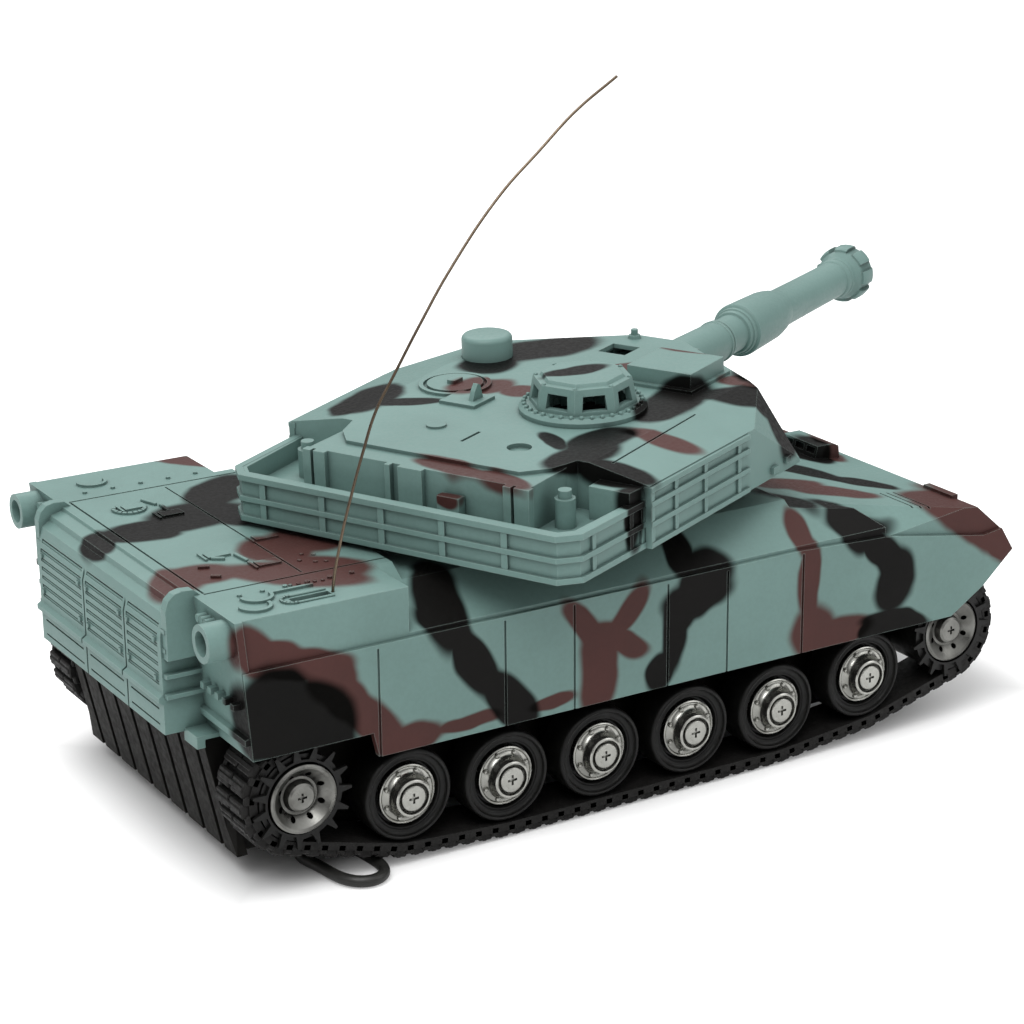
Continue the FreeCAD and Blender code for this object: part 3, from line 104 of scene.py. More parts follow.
class Nodes:
    """Short calls for building a node tree; values may be sockets or constants."""

    def __init__(self, tree):
        self.tree = tree
        tree.nodes.clear()

    def node(self, kind, **settings):
        node = self.tree.nodes.new(kind)
        for key, value in settings.items():
            setattr(node, key, value)
        return node

    def feed(self, socket, value):
        if isinstance(value, bpy.types.NodeSocket):
            self.tree.links.new(value, socket)
        else:
            socket.default_value = value

    def calc(self, operation, *values, clamp=False):
        node = self.node("ShaderNodeMath", operation=operation, use_clamp=clamp)
        for socket, value in zip(node.inputs, values):
            self.feed(socket, value)
        return node.outputs[0]

    def vector_calc(self, operation, *values):
        node = self.node("ShaderNodeVectorMath", operation=operation)
        for socket, value in zip(node.inputs, values):
            self.feed(socket, value)
        scalar = operation in ("LENGTH", "DOT_PRODUCT")
        return node.outputs["Value" if scalar else "Vector"]

    def ramp(self, value, span, to=(0.0, 1.0)):
        """Smooth step from to[0] to to[1] as the value crosses the span."""
        node = self.node("ShaderNodeMapRange", interpolation_type="SMOOTHSTEP")
        for socket, item in zip(node.inputs, (value, *span, *to)):
            self.feed(socket, item)
        return node.outputs[0]

    def split(self, vector):
        node = self.node("ShaderNodeSeparateXYZ")
        self.feed(node.inputs[0], vector)
        return node.outputs


class MaterialNodes(Nodes):
    """A material with one Principled shader, textured in object coordinates."""

    def __init__(self, name):
        self.material = bpy.data.materials.new(name)
        self.material.use_nodes = True
        super().__init__(self.material.node_tree)
        output = self.node("ShaderNodeOutputMaterial")
        self.shader = self.node("ShaderNodeBsdfPrincipled")
        self.feed(output.inputs[0], self.shader.outputs[0])
        self.coord = self.node("ShaderNodeTexCoord").outputs["Object"]

    def set(self, name, value):
        self.feed(self.shader.inputs[name], value)

    def noise(self, scale, detail, roughness, output="Fac"):
        node = self.node("ShaderNodeTexNoise")
        node.inputs["Scale"].default_value = scale
        node.inputs["Detail"].default_value = detail
        node.inputs["Roughness"].default_value = roughness
        self.feed(node.inputs["Vector"], self.coord)
        return node.outputs[output]

    def mix(self, factor, first, second, blend="MIX"):
        node = self.node("ShaderNodeMix", data_type="RGBA", blend_type=blend)
        for index, value in ((0, factor), (6, first), (7, second)):
            self.feed(node.inputs[index], value)
        return node.outputs[2]

    def two_tone(self, noise, shades):
        """Drift between two sRGB shades."""
        return self.mix(self.ramp(noise, span=(0.3, 0.7)), *(srgb(*s) for s in shades))

    def dim(self, colour, level):
        """Multiply a colour by a grey level."""
        grey = self.node("ShaderNodeCombineColor")
        for i in range(3):
            self.feed(grey.inputs[i], level)
        return self.mix(1.0, colour, grey.outputs[0], "MULTIPLY")

    def rounded_normal(self, radius):
        node = self.node("ShaderNodeBevel", samples=4)
        node.inputs["Radius"].default_value = radius
        return node.outputs[0]

    def wear(self, colour, reach, darkest, edge):
        """Painted shade darkening recesses and a painted highlight of thin paler edges, on
        moulded plastic.
        """
        occlusion = self.node("ShaderNodeAmbientOcclusion", samples=5)
        occlusion.inputs["Distance"].default_value = reach
        openness = occlusion.outputs["AO"]
        # painted shade: colour dimmed towards darkest where ambient occlusion finds recesses
        colour = self.dim(colour, self.ramp(openness, span=(0.25, 0.95), to=(darkest, 1.0)))
        if not edge:
            return colour
        # painted highlight: pale tint mixed onto exposed rounded edges
        rounded = self.rounded_normal(radius=0.00035)
        flat = self.node("ShaderNodeNewGeometry").outputs["Normal"]
        on_edge = self.ramp(self.vector_calc("DOT_PRODUCT", rounded, flat), span=(0.985, 0.86))
        exposed = self.ramp(openness, span=(0.70, 0.95))
        amount = self.calc("MULTIPLY", self.calc("MULTIPLY", on_edge, exposed), edge)
        return self.mix(amount, colour, EDGE_HIGHLIGHT)

    def bump(self, height, strength, distance, bevel):
        """Fine relief, over edges rounded by the bevel radius where one is given."""
        node = self.node("ShaderNodeBump")
        node.inputs["Strength"].default_value = strength
        node.inputs["Distance"].default_value = distance
        self.feed(node.inputs["Height"], height)
        if bevel:
            self.feed(node.inputs["Normal"], self.rounded_normal(bevel))
        self.set("Normal", node.outputs[0])


# ------------------------------------------------------------------ camouflage patches
# Every patch is an ellipsoid. Columns: centre x, y, z; angle in degrees; half length,
# half width, half depth.

# hull sides: drawn on the right side (-Y) and mirrored to the left
SIDE_BLACK = [
    (-106.1, -64.0, 49.6, -123.8, 11.3, 10.6, 10), (-94.8, -64.0, 46.4, -28.1, 11.9, 8.6, 10),
    (-98.9, -64.0, 42.2, -17.5, 15.9, 6.2, 10), (-103.0, -64.0, 55.2, -13.0, 6.7, 4.9, 10),
    (-57.7, -64.0, 64.0, -53.5, 8.6, 4.2, 10), (-49.5, -64.0, 51.3, -57.5, 11.7, 4.3, 10),
    (-38.9, -64.0, 39.1, -48.1, 9.1, 4.5, 10), (19.6, -64.0, 59.2, 52.1, 7.5, 7.0, 10),
    (16.9, -64.0, 55.0, 4.7, 9.8, 4.9, 10), (9.7, -64.0, 46.9, -95.8, 10.9, 2.8, 10),
    (5.1, -64.0, 36.2, -112.2, 4.8, 3.3, 10), (11.9, -64.0, 52.6, -121.5, 5.7, 4.0, 10),
    (74.4, -64.0, 57.7, 129.2, 6.3, 3.1, 10), (81.2, -64.0, 47.2, -92.5, 9.2, 6.3, 10),
    (81.8, -64.0, 34.9, -10.0, 11.6, 2.6, 10), (74.1, -64.0, 33.9, -175.4, 5.0, 2.4, 10),
    (78.4, -64.0, 53.4, -65.7, 6.8, 3.9, 10),
]
SIDE_BROWN = [
    (-109.0, -64.0, 65.5, 121.1, 6.2, 4.0, 10), (-96.2, -64.0, 60.3, -9.1, 12.7, 3.0, 10),
    (-89.2, -64.0, 55.3, -12.5, 6.5, 5.5, 10), (-78.8, -64.0, 42.7, -43.9, 11.1, 4.0, 10),
    (-104.6, -64.0, 63.6, -11.3, 6.6, 2.9, 10), (-68.0, -64.0, 35.1, -1.8, 9.7, 3.2, 10),
    (-50.5, -64.0, 35.5, 6.0, 8.6, 1.4, 10), (-27.3, -64.0, 36.4, 1.0, 5.9, 1.4, 10),
    (-85.4, -64.0, 49.4, -39.7, 6.9, 4.3, 10), (-16.7, -64.0, 53.0, 124.6, 9.0, 2.8, 10),
    (-4.2, -64.0, 55.3, 43.4, 7.4, 2.9, 10), (-5.6, -64.0, 47.2, -29.1, 8.0, 2.5, 10),
    (-13.8, -64.0, 41.1, -92.5, 11.3, 5.2, 10), (-12.0, -64.0, 49.3, -11.5, 5.5, 4.2, 10),
    (52.5, -64.0, 53.5, -90.0, 11.9, 3.0, 10), (53.8, -64.0, 38.5, -137.1, 7.6, 6.3, 10),
    (62.2, -64.0, 36.7, -4.2, 11.0, 4.1, 10), (117.9, -64.0, 49.9, -35.9, 5.8, 2.8, 10),
    (120.5, -64.0, 51.5, -36.0, 8.0, 4.2, 10), (107.0, -61.5, 58.6, -33.0, 16.5, 4.8, 14),
]
# hull top
TOP_BLACK = [
    (-55.9, -58.6, 68.4, -105.0, 16.3, 5.8, 14), (15.0, -58.0, 66.5, 70, 8.5, 3.6, 7),
    (85.0, -19.6, 65.9, -63.4, 10.1, 4.2, 7), (93.3, -33.8, 65.9, -46.7, 9.8, 3.2, 7),
    (55.8, -43.8, 65.9, -64.7, 11.9, 6.2, 7), (68.0, -57.0, 63.0, -74.9, 13.8, 5.5, 7),
    (73.3, -60.1, 65.9, -6.5, 10.6, 3.7, 7), (-105.1, 7.9, 74.1, 160.1, 8.8, 5.6, 6),
    (-87.0, 14.1, 74.1, -174.8, 13.2, 8.8, 6), (-72.5, 29.7, 74.1, -132.8, 12.9, 7.4, 6),
    (-77.8, 8.1, 74.1, -174.8, 6.6, 7.2, 6), (-115.0, 9.0, 70.5, -100, 7.0, 3.6, 8),
    (-98, 10.5, 74.1, 165, 12, 4.6, 6), (98.5, -3, 65.5, 0, 5, 9.5, 4),
    (30, 58, 66, -30, 12, 5, 9), (-40, 54, 69, 20, 11, 5, 9), (100, 45, 63, 60, 9, 4, 7),
]
TOP_BROWN = [
    (51.5, -59.0, 64.5, -100, 9.5, 3.2, 7), (68.6, -30.0, 65.9, -12.5, 9.7, 4.9, 7),
    (78.0, -40.0, 65.9, -36.0, 12.2, 4.4, 7), (108.0, -56.0, 61.5, -43.8, 14.0, 9.0, 8),
    (117.0, -50.0, 58.0, -55.0, 16.0, 9.0, 9), (122.0, -60.0, 50.5, 0, 8.0, 8.0, 6.5),
    (118, -56, 55, 60, 9, 6, 8), (104.0, -50.0, 62.5, 3.9, 7.3, 5.1, 7),
    (-81.9, -21.9, 74.1, -163.7, 7.5, 10.0, 6), (-86.1, -41.1, 74.1, 135.5, 17.8, 6.8, 6),
    (-105.4, -28.6, 74.1, 170.1, 9.3, 6.3, 6), (-69.7, -18.4, 74.1, -179.5, 10.5, 9.8, 6),
    (-65.4, 54.3, 74.1, 133.6, 14.8, 3.5, 6), (-78.5, -39.5, 74.1, -41.8, 11.3, 8.5, 6),
    (104.5, -3, 64.5, 0, 4, 9, 4), (-112, -29, 72, 90, 8, 6, 8),
    (60, 55, 65, 20, 11, 5, 8), (108, 30, 62, 80, 9, 4, 8),
]
# turret, in turret coordinates; the last black patch covers the cupola as painted shade inside
# its hollow, darkening the inner faces and window reveals
TURRET_BLACK_AND_SHADE = [
    (10, 24, 96.5, -28, 19, 9, 7), (-8, 30, 96.5, 0, 9, 8.5, 6), (-44, 44, 95, 15, 13, 8, 8),
    (-54, 43, 95, 30, 9, 6.5, 8), (-47, 31, 96.5, -57, 11, 3.4, 4),
    (-62, -33, 96.5, -9, 13, 6.5, 5), (-50, -31, 96.5, -15, 11, 6.5, 5),
    (-65, -45, 95, 100, 12, 5, 7), (-56, -20, 96.5, 55, 8, 2.6, 4),
    (-70.5, -53.5, 88, 0, 4.5, 6, 10), (-12, -32, 96.5, 12, 16, 7.5, 5),
    (-24, -33, 96.5, 0, 10, 6, 5), (2, -46, 94, -50, 17, 7, 6), (6, -55, 86, 0, 8, 8, 8),
    (14, -40, 92, 60, 10, 6, 7), (-30, -11, 106, -35, 9.5, 3.6, 3.4),
    # painted shade in the hollow cupola
    (*CUPOLA, 101.0, 0, 10.6, 10.6, 3.1),
]
TURRET_BROWN = [
    (-28, 20, 96.5, -20, 10.5, 6.5, 4), (-25, 9.5, 96.5, 0, 5, 5, 4),
    (10, -41, 95, -65, 9, 4.5, 6), (-40.5, -43, 95.5, 100, 12, 4.6, 5),
    (-82.5, -8, 97, 84, 13, 3.6, 4.5), (-84, -24, 95.5, 80, 10, 3.2, 3.6),
    (-88.5, -11, 90.5, 90, 4.2, 2.6, 2.6), (6, -6, 96.5, -30, 9, 4, 4),
    (14, -22, 101.5, -80, 9, 3, 3),
]


# Each function below turns table rows into (centre, rotation, radii); hull radii are
# slightly enlarged.
def side_patches(rows):
    return [((x, y, z), (0.0, -math.radians(angle), 0.0),
             (length * 1.03 + 0.6, depth, width * 1.03 + 0.6))
            for x, y, z, angle, length, width, depth in rows]


def top_patches(rows):
    return [((x, y, z), (0.0, 0.0, math.radians(angle)),
             (length * 1.04 + 0.6, width * 1.04 + 0.5, depth))
            for x, y, z, angle, length, width, depth in rows]


def turret_patches(rows):
    return [(turret_point(x, y, z) / MM, (0.0, 0.0, math.radians(angle) + TURRET_YAW), radii)
            for x, y, z, angle, *radii in rows]


# ------------------------------------------------------------------ materials
# pairs of sRGB shades
TEAL = ((114, 143, 138), (108, 136, 131))
BROWN = ((80, 50, 47), (73, 47, 44))
BLACK = ((14, 14, 13), (19, 18, 17))

BLEND = 0.25                  # how softly neighbouring patches merge
WARP = 0.0065                 # metres of wobble on patch outlines


def patch_distance(nodes, vector, patches):
    """Smallest scaled distance to the patches; 1 is on an outline."""
    nearest = None
    for centre, rotation, radii in patches:
        mapping = nodes.node("ShaderNodeMapping", vector_type="TEXTURE")
        mapping.inputs["Location"].default_value = [c * MM for c in centre]
        mapping.inputs["Rotation"].default_value = rotation
        mapping.inputs["Scale"].default_value = [r * MM for r in radii]
        nodes.feed(mapping.inputs["Vector"], vector)
        distance = nodes.vector_calc("LENGTH", mapping.outputs[0])
        if nearest is None:
            nearest = distance
        else:
            nearest = nodes.calc("SMOOTH_MIN", nearest, distance, BLEND)
    return nearest


def mirror_to_right(nodes, vector):
    """Fold the left side onto the right side (-Y)."""
    x, y, z = nodes.split(vector)
    folded = nodes.node("ShaderNodeCombineXYZ")
    y = nodes.calc("MULTIPLY", nodes.calc("ABSOLUTE", y), -1.0)
    for socket, value in zip(folded.inputs, (x, y, z)):
        nodes.feed(socket, value)
    return folded.outputs[0]


def camo(name, brown, black, side_brown=None, side_black=None):
    """Teal plastic with brown patches, and black patches over both."""
    nodes = MaterialNodes(name)
    wobble = nodes.noise(scale=55, detail=2.0, roughness=0.45, output="Color")
    wobble = nodes.vector_calc("SUBTRACT", wobble, (0.5, 0.5, 0.5))
    vector = nodes.vector_calc("MULTIPLY_ADD", wobble, (WARP, WARP, WARP), nodes.coord)

    to_brown = patch_distance(nodes, vector, brown)
    to_black = patch_distance(nodes, vector, black)
    if side_brown:
        folded = mirror_to_right(nodes, vector)
        to_brown = nodes.calc("MINIMUM", to_brown, patch_distance(nodes, folded, side_brown))
        to_black = nodes.calc("MINIMUM", to_black, patch_distance(nodes, folded, side_black))
    brown_mask = nodes.ramp(to_brown, span=(1.20, 0.84))
    black_mask = nodes.ramp(to_black, span=(1.17, 0.86))

    coarse = nodes.noise(scale=28, detail=4.0, roughness=0.6)
    fine = nodes.noise(scale=900, detail=3.0, roughness=0.6)
    teal_paint, brown_paint, black_paint = [
        nodes.two_tone(coarse, shades) for shades in (TEAL, BROWN, BLACK)]
    colour = nodes.mix(brown_mask, teal_paint, brown_paint)
    colour = nodes.mix(black_mask, colour, black_paint)
    colour = nodes.dim(colour, nodes.ramp(fine, span=(0.35, 0.65), to=(0.975, 1.02)))
    # painted shade in recesses and painted highlight on exposed edges
    colour = nodes.wear(colour, reach=0.005, darkest=0.40, edge=0.26)
    nodes.set("Base Color", colour)
    nodes.set("Roughness", nodes.ramp(fine, span=(0.3, 0.7), to=(0.36, 0.50)))

    # specular level: 0.24 on teal, less by 0.09 on brown and by 0.15 on black
    specular = nodes.calc("MULTIPLY_ADD", brown_mask, -0.09, 0.24)
    specular = nodes.calc("MULTIPLY_ADD", black_mask, -0.15, specular, clamp=True)
    nodes.set("Specular IOR Level", specular)
    nodes.bump(fine, strength=0.12, distance=0.0002, bevel=0.0003)
    return nodes.material


def plain(name, shades, rough=(0.4, 0.6), metal=0.0, specular=0.4, fine_scale=500,
          coarse_scale=30, bump=0.15, relief=0.0002, bevel=None, wear=None):
    """One material in two close shades, with fine relief."""
    nodes = MaterialNodes(name)
    fine = nodes.noise(fine_scale, detail=4.0, roughness=0.6)
    coarse = nodes.noise(coarse_scale, detail=3.0, roughness=0.6)
    colour = nodes.two_tone(coarse, shades)
    # painted shade in recesses, and painted highlight on edges when edge is above zero
    if wear:
        colour = nodes.wear(colour, **wear)
    nodes.set("Base Color", colour)
    nodes.set("Roughness", nodes.ramp(fine, span=(0.3, 0.7), to=rough))
    nodes.set("Metallic", metal)
    nodes.set("Specular IOR Level", specular)
    nodes.bump(fine, bump, relief, bevel)
    return nodes.material


def metal(name, shades, rough, **settings):
    return plain(name, shades, rough, metal=1.0, **settings)


HULL_CAMO = camo("camo_hull", top_patches(TOP_BROWN), top_patches(TOP_BLACK),
                 side_patches(SIDE_BROWN), side_patches(SIDE_BLACK))
TURRET_CAMO = camo("camo_turret", turret_patches(TURRET_BROWN), turret_patches(TURRET_BLACK_AND_SHADE))
# the settings below paint shade into recesses; where edge is above zero they also paint a
# highlight on open edges
TEAL_PLASTIC = plain("teal_plastic", TEAL, rough=(0.4, 0.54), specular=0.34,
                     fine_scale=900, coarse_scale=28, bump=0.12, bevel=0.0003,
                     wear=dict(reach=0.005, darkest=0.45, edge=0.26))
CHASSIS = plain("chassis_black", ((18, 17, 15), (24, 23, 20)), rough=(0.5, 0.66),
                specular=0.12, bevel=0.0003, wear=dict(reach=0.006, darkest=0.25, edge=0.0))
RUBBER = plain("track_rubber", ((20, 19, 18), (27, 26, 25)), rough=(0.45, 0.7),
               specular=0.28, fine_scale=700, bump=0.35,
               wear=dict(reach=0.004, darkest=0.3, edge=0.0))
WHEEL = plain("wheel_black", ((13, 13, 12), (18, 18, 17)), rough=(0.32, 0.5), specular=0.3)
PLATED = dict(fine_scale=260, coarse_scale=140, bump=0.14, relief=0.0003)
SILVER = metal("wheel_silver", ((196, 196, 190), (166, 166, 160)), rough=(0.16, 0.34),
               wear=dict(reach=0.003, darkest=0.22, edge=0.0), **PLATED)
DISC = metal("disc_silver", ((140, 140, 136), (106, 106, 102)), rough=(0.26, 0.44),
             wear=dict(reach=0.004, darkest=0.12, edge=0.0), **PLATED)
STEEL = metal("steel", ((190, 190, 188), (165, 165, 162)), rough=(0.22, 0.4))
WIRE = metal("aerial_wire", ((122, 108, 92), (92, 80, 68)), rough=(0.25, 0.4), fine_scale=900)
GEAR = plain("gear_white", ((228, 227, 220), (214, 213, 205)), rough=(0.35, 0.5))
BRASS = metal("brass", ((190, 158, 92), (170, 138, 76)), rough=(0.25, 0.4))
MOTOR_CAN = metal("motor_can", ((185, 185, 190), (165, 165, 170)), rough=(0.25, 0.4))
CELL = plain("cell_wrap", ((40, 78, 104), (34, 66, 92)), rough=(0.2, 0.35))
BOARD = plain("board_green", ((34, 92, 52), (28, 80, 45)), rough=(0.3, 0.45))
CORD = plain("cord_sleeve", ((32, 32, 31), (38, 38, 36)), rough=(0.36, 0.5), specular=0.5)

# piece name patterns and their materials; the first match wins
PIECE_MATERIALS = [
    (("upper_hull",), HULL_CAMO),
    (("turret_shell", "commander_cupola"), TURRET_CAMO),
    (("gun_barrel", "gun_mantlet", "fire_button"), TEAL_PLASTIC),
    (("lower_chassis", "turret_base", "battery_door", "gearbox_case", "switch_slider"), CHASSIS),
    (("track*",), RUBBER),
    (("wheel_cap*",), SILVER),
    (("*_disc_*",), DISC),
    (("wheel_pins", "case_screws", "button_spring", "battery_contacts", "drive_axle*"), STEEL),
    (("reduction*",), GEAR),
    (("motor_pinion*",), BRASS),
    (("drive_motors",), MOTOR_CAN),
    (("battery_cells",), CELL),
    (("receiver_board",), BOARD),
    (("antenna_wire",), WIRE),
    (("cord_loop",), CORD),
    (("*",), WHEEL),
]


def material_for(name):
    return next(material for patterns, material in PIECE_MATERIALS
                if any(fnmatchcase(name, pattern) for pattern in patterns))


for name in pieces:
    mesh = pieces[name].data
    mesh.materials.clear()
    mesh.materials.append(material_for(name))
    mesh.polygons.foreach_set("material_index", [0] * len(mesh.polygons))
    mesh.polygons.foreach_set("use_smooth", [True] * len(mesh.polygons))

# ------------------------------------------------------------------ mesh helpers


def make_mesh(name, bm, material, sharp):
    """Smooth-shaded mesh with edges above the sharp angle (degrees) kept crisp."""
    bmesh.ops.remove_doubles(bm, verts=bm.verts, dist=1e-7)
    bmesh.ops.recalc_face_normals(bm, faces=bm.faces)
    for face in bm.faces:
        face.smooth = True
    for edge in bm.edges:
        if len(edge.link_faces) == 2 and edge.calc_face_angle(0.0) > math.radians(sharp):
            edge.smooth = False
    mesh = bpy.data.meshes.new(name)
    bm.to_mesh(mesh)
    bm.free()
    mesh.materials.append(material)
    return mesh


def link_object(name, data):
    obj = bpy.data.objects.new(name, data)
    bpy.context.scene.collection.objects.link(obj)
    return obj


def add_piece(name, data, body, location=(0, 0, 0)):
    obj = link_object(name, data)
    obj.location = location
    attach(obj, body)
    return obj


def lathe(bm, profile, place, segments):
    """(radius, height) outline spun about local Z; closed up unless it meets the axis."""
    rings = []
    for radius, height in profile:
        if radius < 1e-6:
            rings.append([bm.verts.new(place @ mm(0, 0, height))])
            continue
        ring = []
        for k in range(segments):
            angle = 2 * math.pi * k / segments
            point = (radius * MM * math.cos(angle), radius * MM * math.sin(angle), height * MM)
            ring.append(bm.verts.new(place @ Vector(point)))
        rings.append(ring)
    following = rings[1:]
    if len(rings[0]) > 1 and len(rings[-1]) > 1:
        following.append(rings[0])
    for a, b in zip(rings, following):
        for k in range(segments):
            j = (k + 1) % segments
            if len(a) == 1:
                bm.faces.new((a[0], b[k], b[j]))
            elif len(b) == 1:
                bm.faces.new((a[k], b[0], a[j]))
            else:
                bm.faces.new((a[k], b[k], b[j], a[j]))


def sector(bm, profile, place, start, end, steps):
    """Closed wedge of a revolved outline, with both ends capped."""
    rings = []
    for k in range(steps + 1):
        angle = start + (end - start) * k / steps
        rings.append([bm.verts.new(place @ polar(r, angle, h)) for r, h in profile])
    for a, b in zip(rings, rings[1:]):
        for i in range(len(profile)):
            j = (i + 1) % len(profile)
            bm.faces.new((a[i], a[j], b[j], b[i]))
    bm.faces.new(rings[0][::-1])
    bm.faces.new(rings[-1])


def block(bm, low, high, place=Matrix.Identity(4), bevel=0.0):
    """Box between two corners, with chamfered edges where a bevel is given."""
    verts = []
    for z in (low[2], high[2]):
        for x, y in ((low[0], low[1]), (high[0], low[1]), (high[0], high[1]), (low[0], high[1])):
            verts.append(bm.verts.new(place @ mm(x, y, z)))
    corners = ((3, 2, 1, 0), (4, 5, 6, 7), (0, 1, 5, 4), (1, 2, 6, 5), (2, 3, 7, 6), (3, 0, 4, 7))
    faces = [bm.faces.new([verts[i] for i in face]) for face in corners]
    if bevel:
        edges = list({edge for face in faces for edge in face.edges})
        bmesh.ops.bevel(bm, geom=edges, offset=bevel * MM, segments=1, profile=0.5,
                        affect="EDGES", clamp_overlap=True)


def stud(bm, centre, normal, radius, height, segments=8):
    """Domed head at a point in metres, sunk 0.3 mm into the surface."""
    turn = Vector(normal).to_track_quat("Z", "Y").to_matrix().to_4x4()
    profile = [(0.0, -0.3), (radius, -0.3), (radius, height * 0.35),
               (radius * 0.8, height * 0.8), (radius * 0.4, height), (0.0, height)]
    lathe(bm, profile, Matrix.Translation(centre) @ turn, segments)


# ------------------------------------------------------------------ tracks
# Circles the track wraps: x, z, outer radius of the track there.
TREAD = 2.2                   # from the band's outer face to the track's outer face
BAND = 2.2                    # nominal band thickness
REAR_CIRCLE = (-96.3, 23.2, 15.8)
FRONT_CIRCLE = (103.8, 24.9, 16.4)
ROAD_WHEELS = [(-66.5, 16.2), (-38.3, 14.4), (-10.3, 14.4), (17.6, 14.4), (45.5, 14.4),
               (75.0, 17.4)]
ROAD_RADIUS = 16.8
LINK_PITCH = 4.9
TRACK_INNER, TRACK_OUTER = 45.5, 60.5   # track edges, from the centre line
CONNECTOR = 1.5               # width of an end connector


def straight_run(start, end, angle):
    length = math.hypot(end[0] - start[0], end[1] - start[1])

    def at(s):
        f = s / length
        return start[0] + (end[0] - start[0]) * f, start[1] + (end[1] - start[1]) * f, angle
    return length, at


def arc_run(circle, start, turn):
    x, z, radius = circle

    def at(s):
        angle = start + s / radius
        return x + radius * math.cos(angle), z + radius * math.sin(angle), angle
    return radius * turn, at


def track_runs():
    """Runs of the band's outer face, as (length, function giving x, z, normal angle)."""
    circles = [REAR_CIRCLE] + [(x, z, ROAD_RADIUS) for x, z in ROAD_WHEELS] + [FRONT_CIRCLE]
    circles = [(x, z, radius - TREAD) for x, z, radius in circles]
    following = circles[1:] + circles[:1]
    tangents = []
    for (x0, z0, r0), (x1, z1, r1) in zip(circles, following):
        span = math.hypot(x1 - x0, z1 - z0)
        normal = math.atan2(z1 - z0, x1 - x0) - math.pi / 2 - math.asin((r1 - r0) / span)
        tangents.append(((x0 + r0 * math.cos(normal), z0 + r0 * math.sin(normal)),
                         (x1 + r1 * math.cos(normal), z1 + r1 * math.sin(normal)), normal))
    runs = []
    for i, (start, end, normal) in enumerate(tangents):
        runs.append(straight_run(start, end, normal))
        turn = (tangents[(i + 1) % len(tangents)][2] - normal) % (2 * math.pi)
        # wheels in line give no turn, or a full one through rounding
        if 1e-6 < turn < 2 * math.pi - 1e-6:
            runs.append(arc_run(following[i], normal, turn))
    return runs


def along(runs, s):
    for length, at in runs:
        if s <= length:
            return at(s)
        s -= length


def link_matrix(x, z, angle):
    """Local X points out of the track, local Z runs along it."""
    return Matrix.Translation(mm(x, 0, z + LIFT)) @ Matrix.Rotation(-angle, 4, "Y")


def make_track(side, tag):
    runs = track_runs()
    total = sum(length for length, _ in runs)
    count = int(round(total / LINK_PITCH))
    steps = count * 3
    bm = bmesh.new()
    inside = -BAND + 0.05
    section = ((0.0, TRACK_INNER), (0.0, TRACK_OUTER), (inside, TRACK_OUTER),
               (inside, TRACK_INNER))
    rows = []
    for k in range(steps):
        x, z, angle = along(runs, total * k / steps)
        rows.append([bm.verts.new(mm(x + math.cos(angle) * depth, side * y,
                                     z + math.sin(angle) * depth + LIFT))
                     for depth, y in section])
    for k in range(steps):
        a, b = rows[k], rows[(k + 1) % steps]
        for j in range(4):
            i = (j + 1) % 4
            bm.faces.new((a[j], a[i], b[i], b[j]))

    low, high = sorted((side * TRACK_INNER, side * TRACK_OUTER))
    middle = 0.5 * (low + high)
    for k in range(count):
        # two half pads with a gap between them, under a raised bar
        place = link_matrix(*along(runs, (k + 0.5) * total / count))
        block(bm, (-0.4, low + 0.5, -1.95), (1.85, middle - 0.35, 1.95), place, 0.35)
        block(bm, (-0.4, middle + 0.35, -1.95), (1.85, high - 0.5, 1.95), place, 0.35)
        block(bm, (1.2, low + 0.9, -0.75), (2.18, high - 0.9, 0.75), place, 0.25)
        # end connectors, between this link and the one before
        place = link_matrix(*along(runs, k * total / count))
        for y in (low, high - CONNECTOR):
            block(bm, (-1.7, y, -1.25), (1.15, y + CONNECTOR, 1.25), place, 0.4)
    mesh = make_mesh("track_links_" + tag, bm, RUBBER, sharp=35)
    obj = add_piece("track_links_" + tag, mesh, "hull")
    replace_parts(obj, "track_" + tag)


for side, tag in SIDES:
    make_track(side, tag)

# ------------------------------------------------------------------ road wheels
# Outlines: radius, distance outboard of the centre line.
TYRE = [
    (1.6, 49.7), (4.0, 49.7), (4.0, 53.0), (9.2, 53.0), (9.2, 50.9), (9.6, 50.6), (11.8, 50.6),
    (12.15, 51.0), (12.18, 55.0), (12.15, 59.0), (12.0, 59.6), (11.6, 60.05), (11.2, 60.15),
    (10.95, 60.0), (10.8, 59.4), (10.5, 59.0), (9.8, 58.7), (9.4, 58.8), (9.15, 59.0),
    (8.9, 58.95), (8.7, 58.6), (8.5, 57.9), (8.3, 57.4), (1.6, 57.4),
]
HUB_RADIUS, HUB_FACE = 3.0, 62.62       # flat end face of the hub cap
CAP = [
    (0.0, 60.2), (4.0, 60.2), (4.0, 58.0), (5.0, 57.4), (7.7, 57.4), (7.88, 57.7), (7.88, 58.85),
    (7.75, 59.2), (7.45, 59.35), (7.2, 59.2), (7.05, 59.0), (6.6, 59.05), (6.1, 59.3),
    (5.65, 59.7), (5.35, 60.25), (5.15, 60.9), (5.0, 61.9), (4.85, 62.45), (4.55, 62.65),
    (4.2, 62.6), (4.05, 62.2), (3.95, 61.75), (3.75, 61.6), (3.5, 61.75), (3.38, 62.2),
    (3.25, 62.5), (HUB_RADIUS, HUB_FACE),
]
CROSS_HALF, CROSS_ARM, CROSS_DEPTH = 0.32, 1.35, 0.5
WHEEL_SEGMENTS = 96


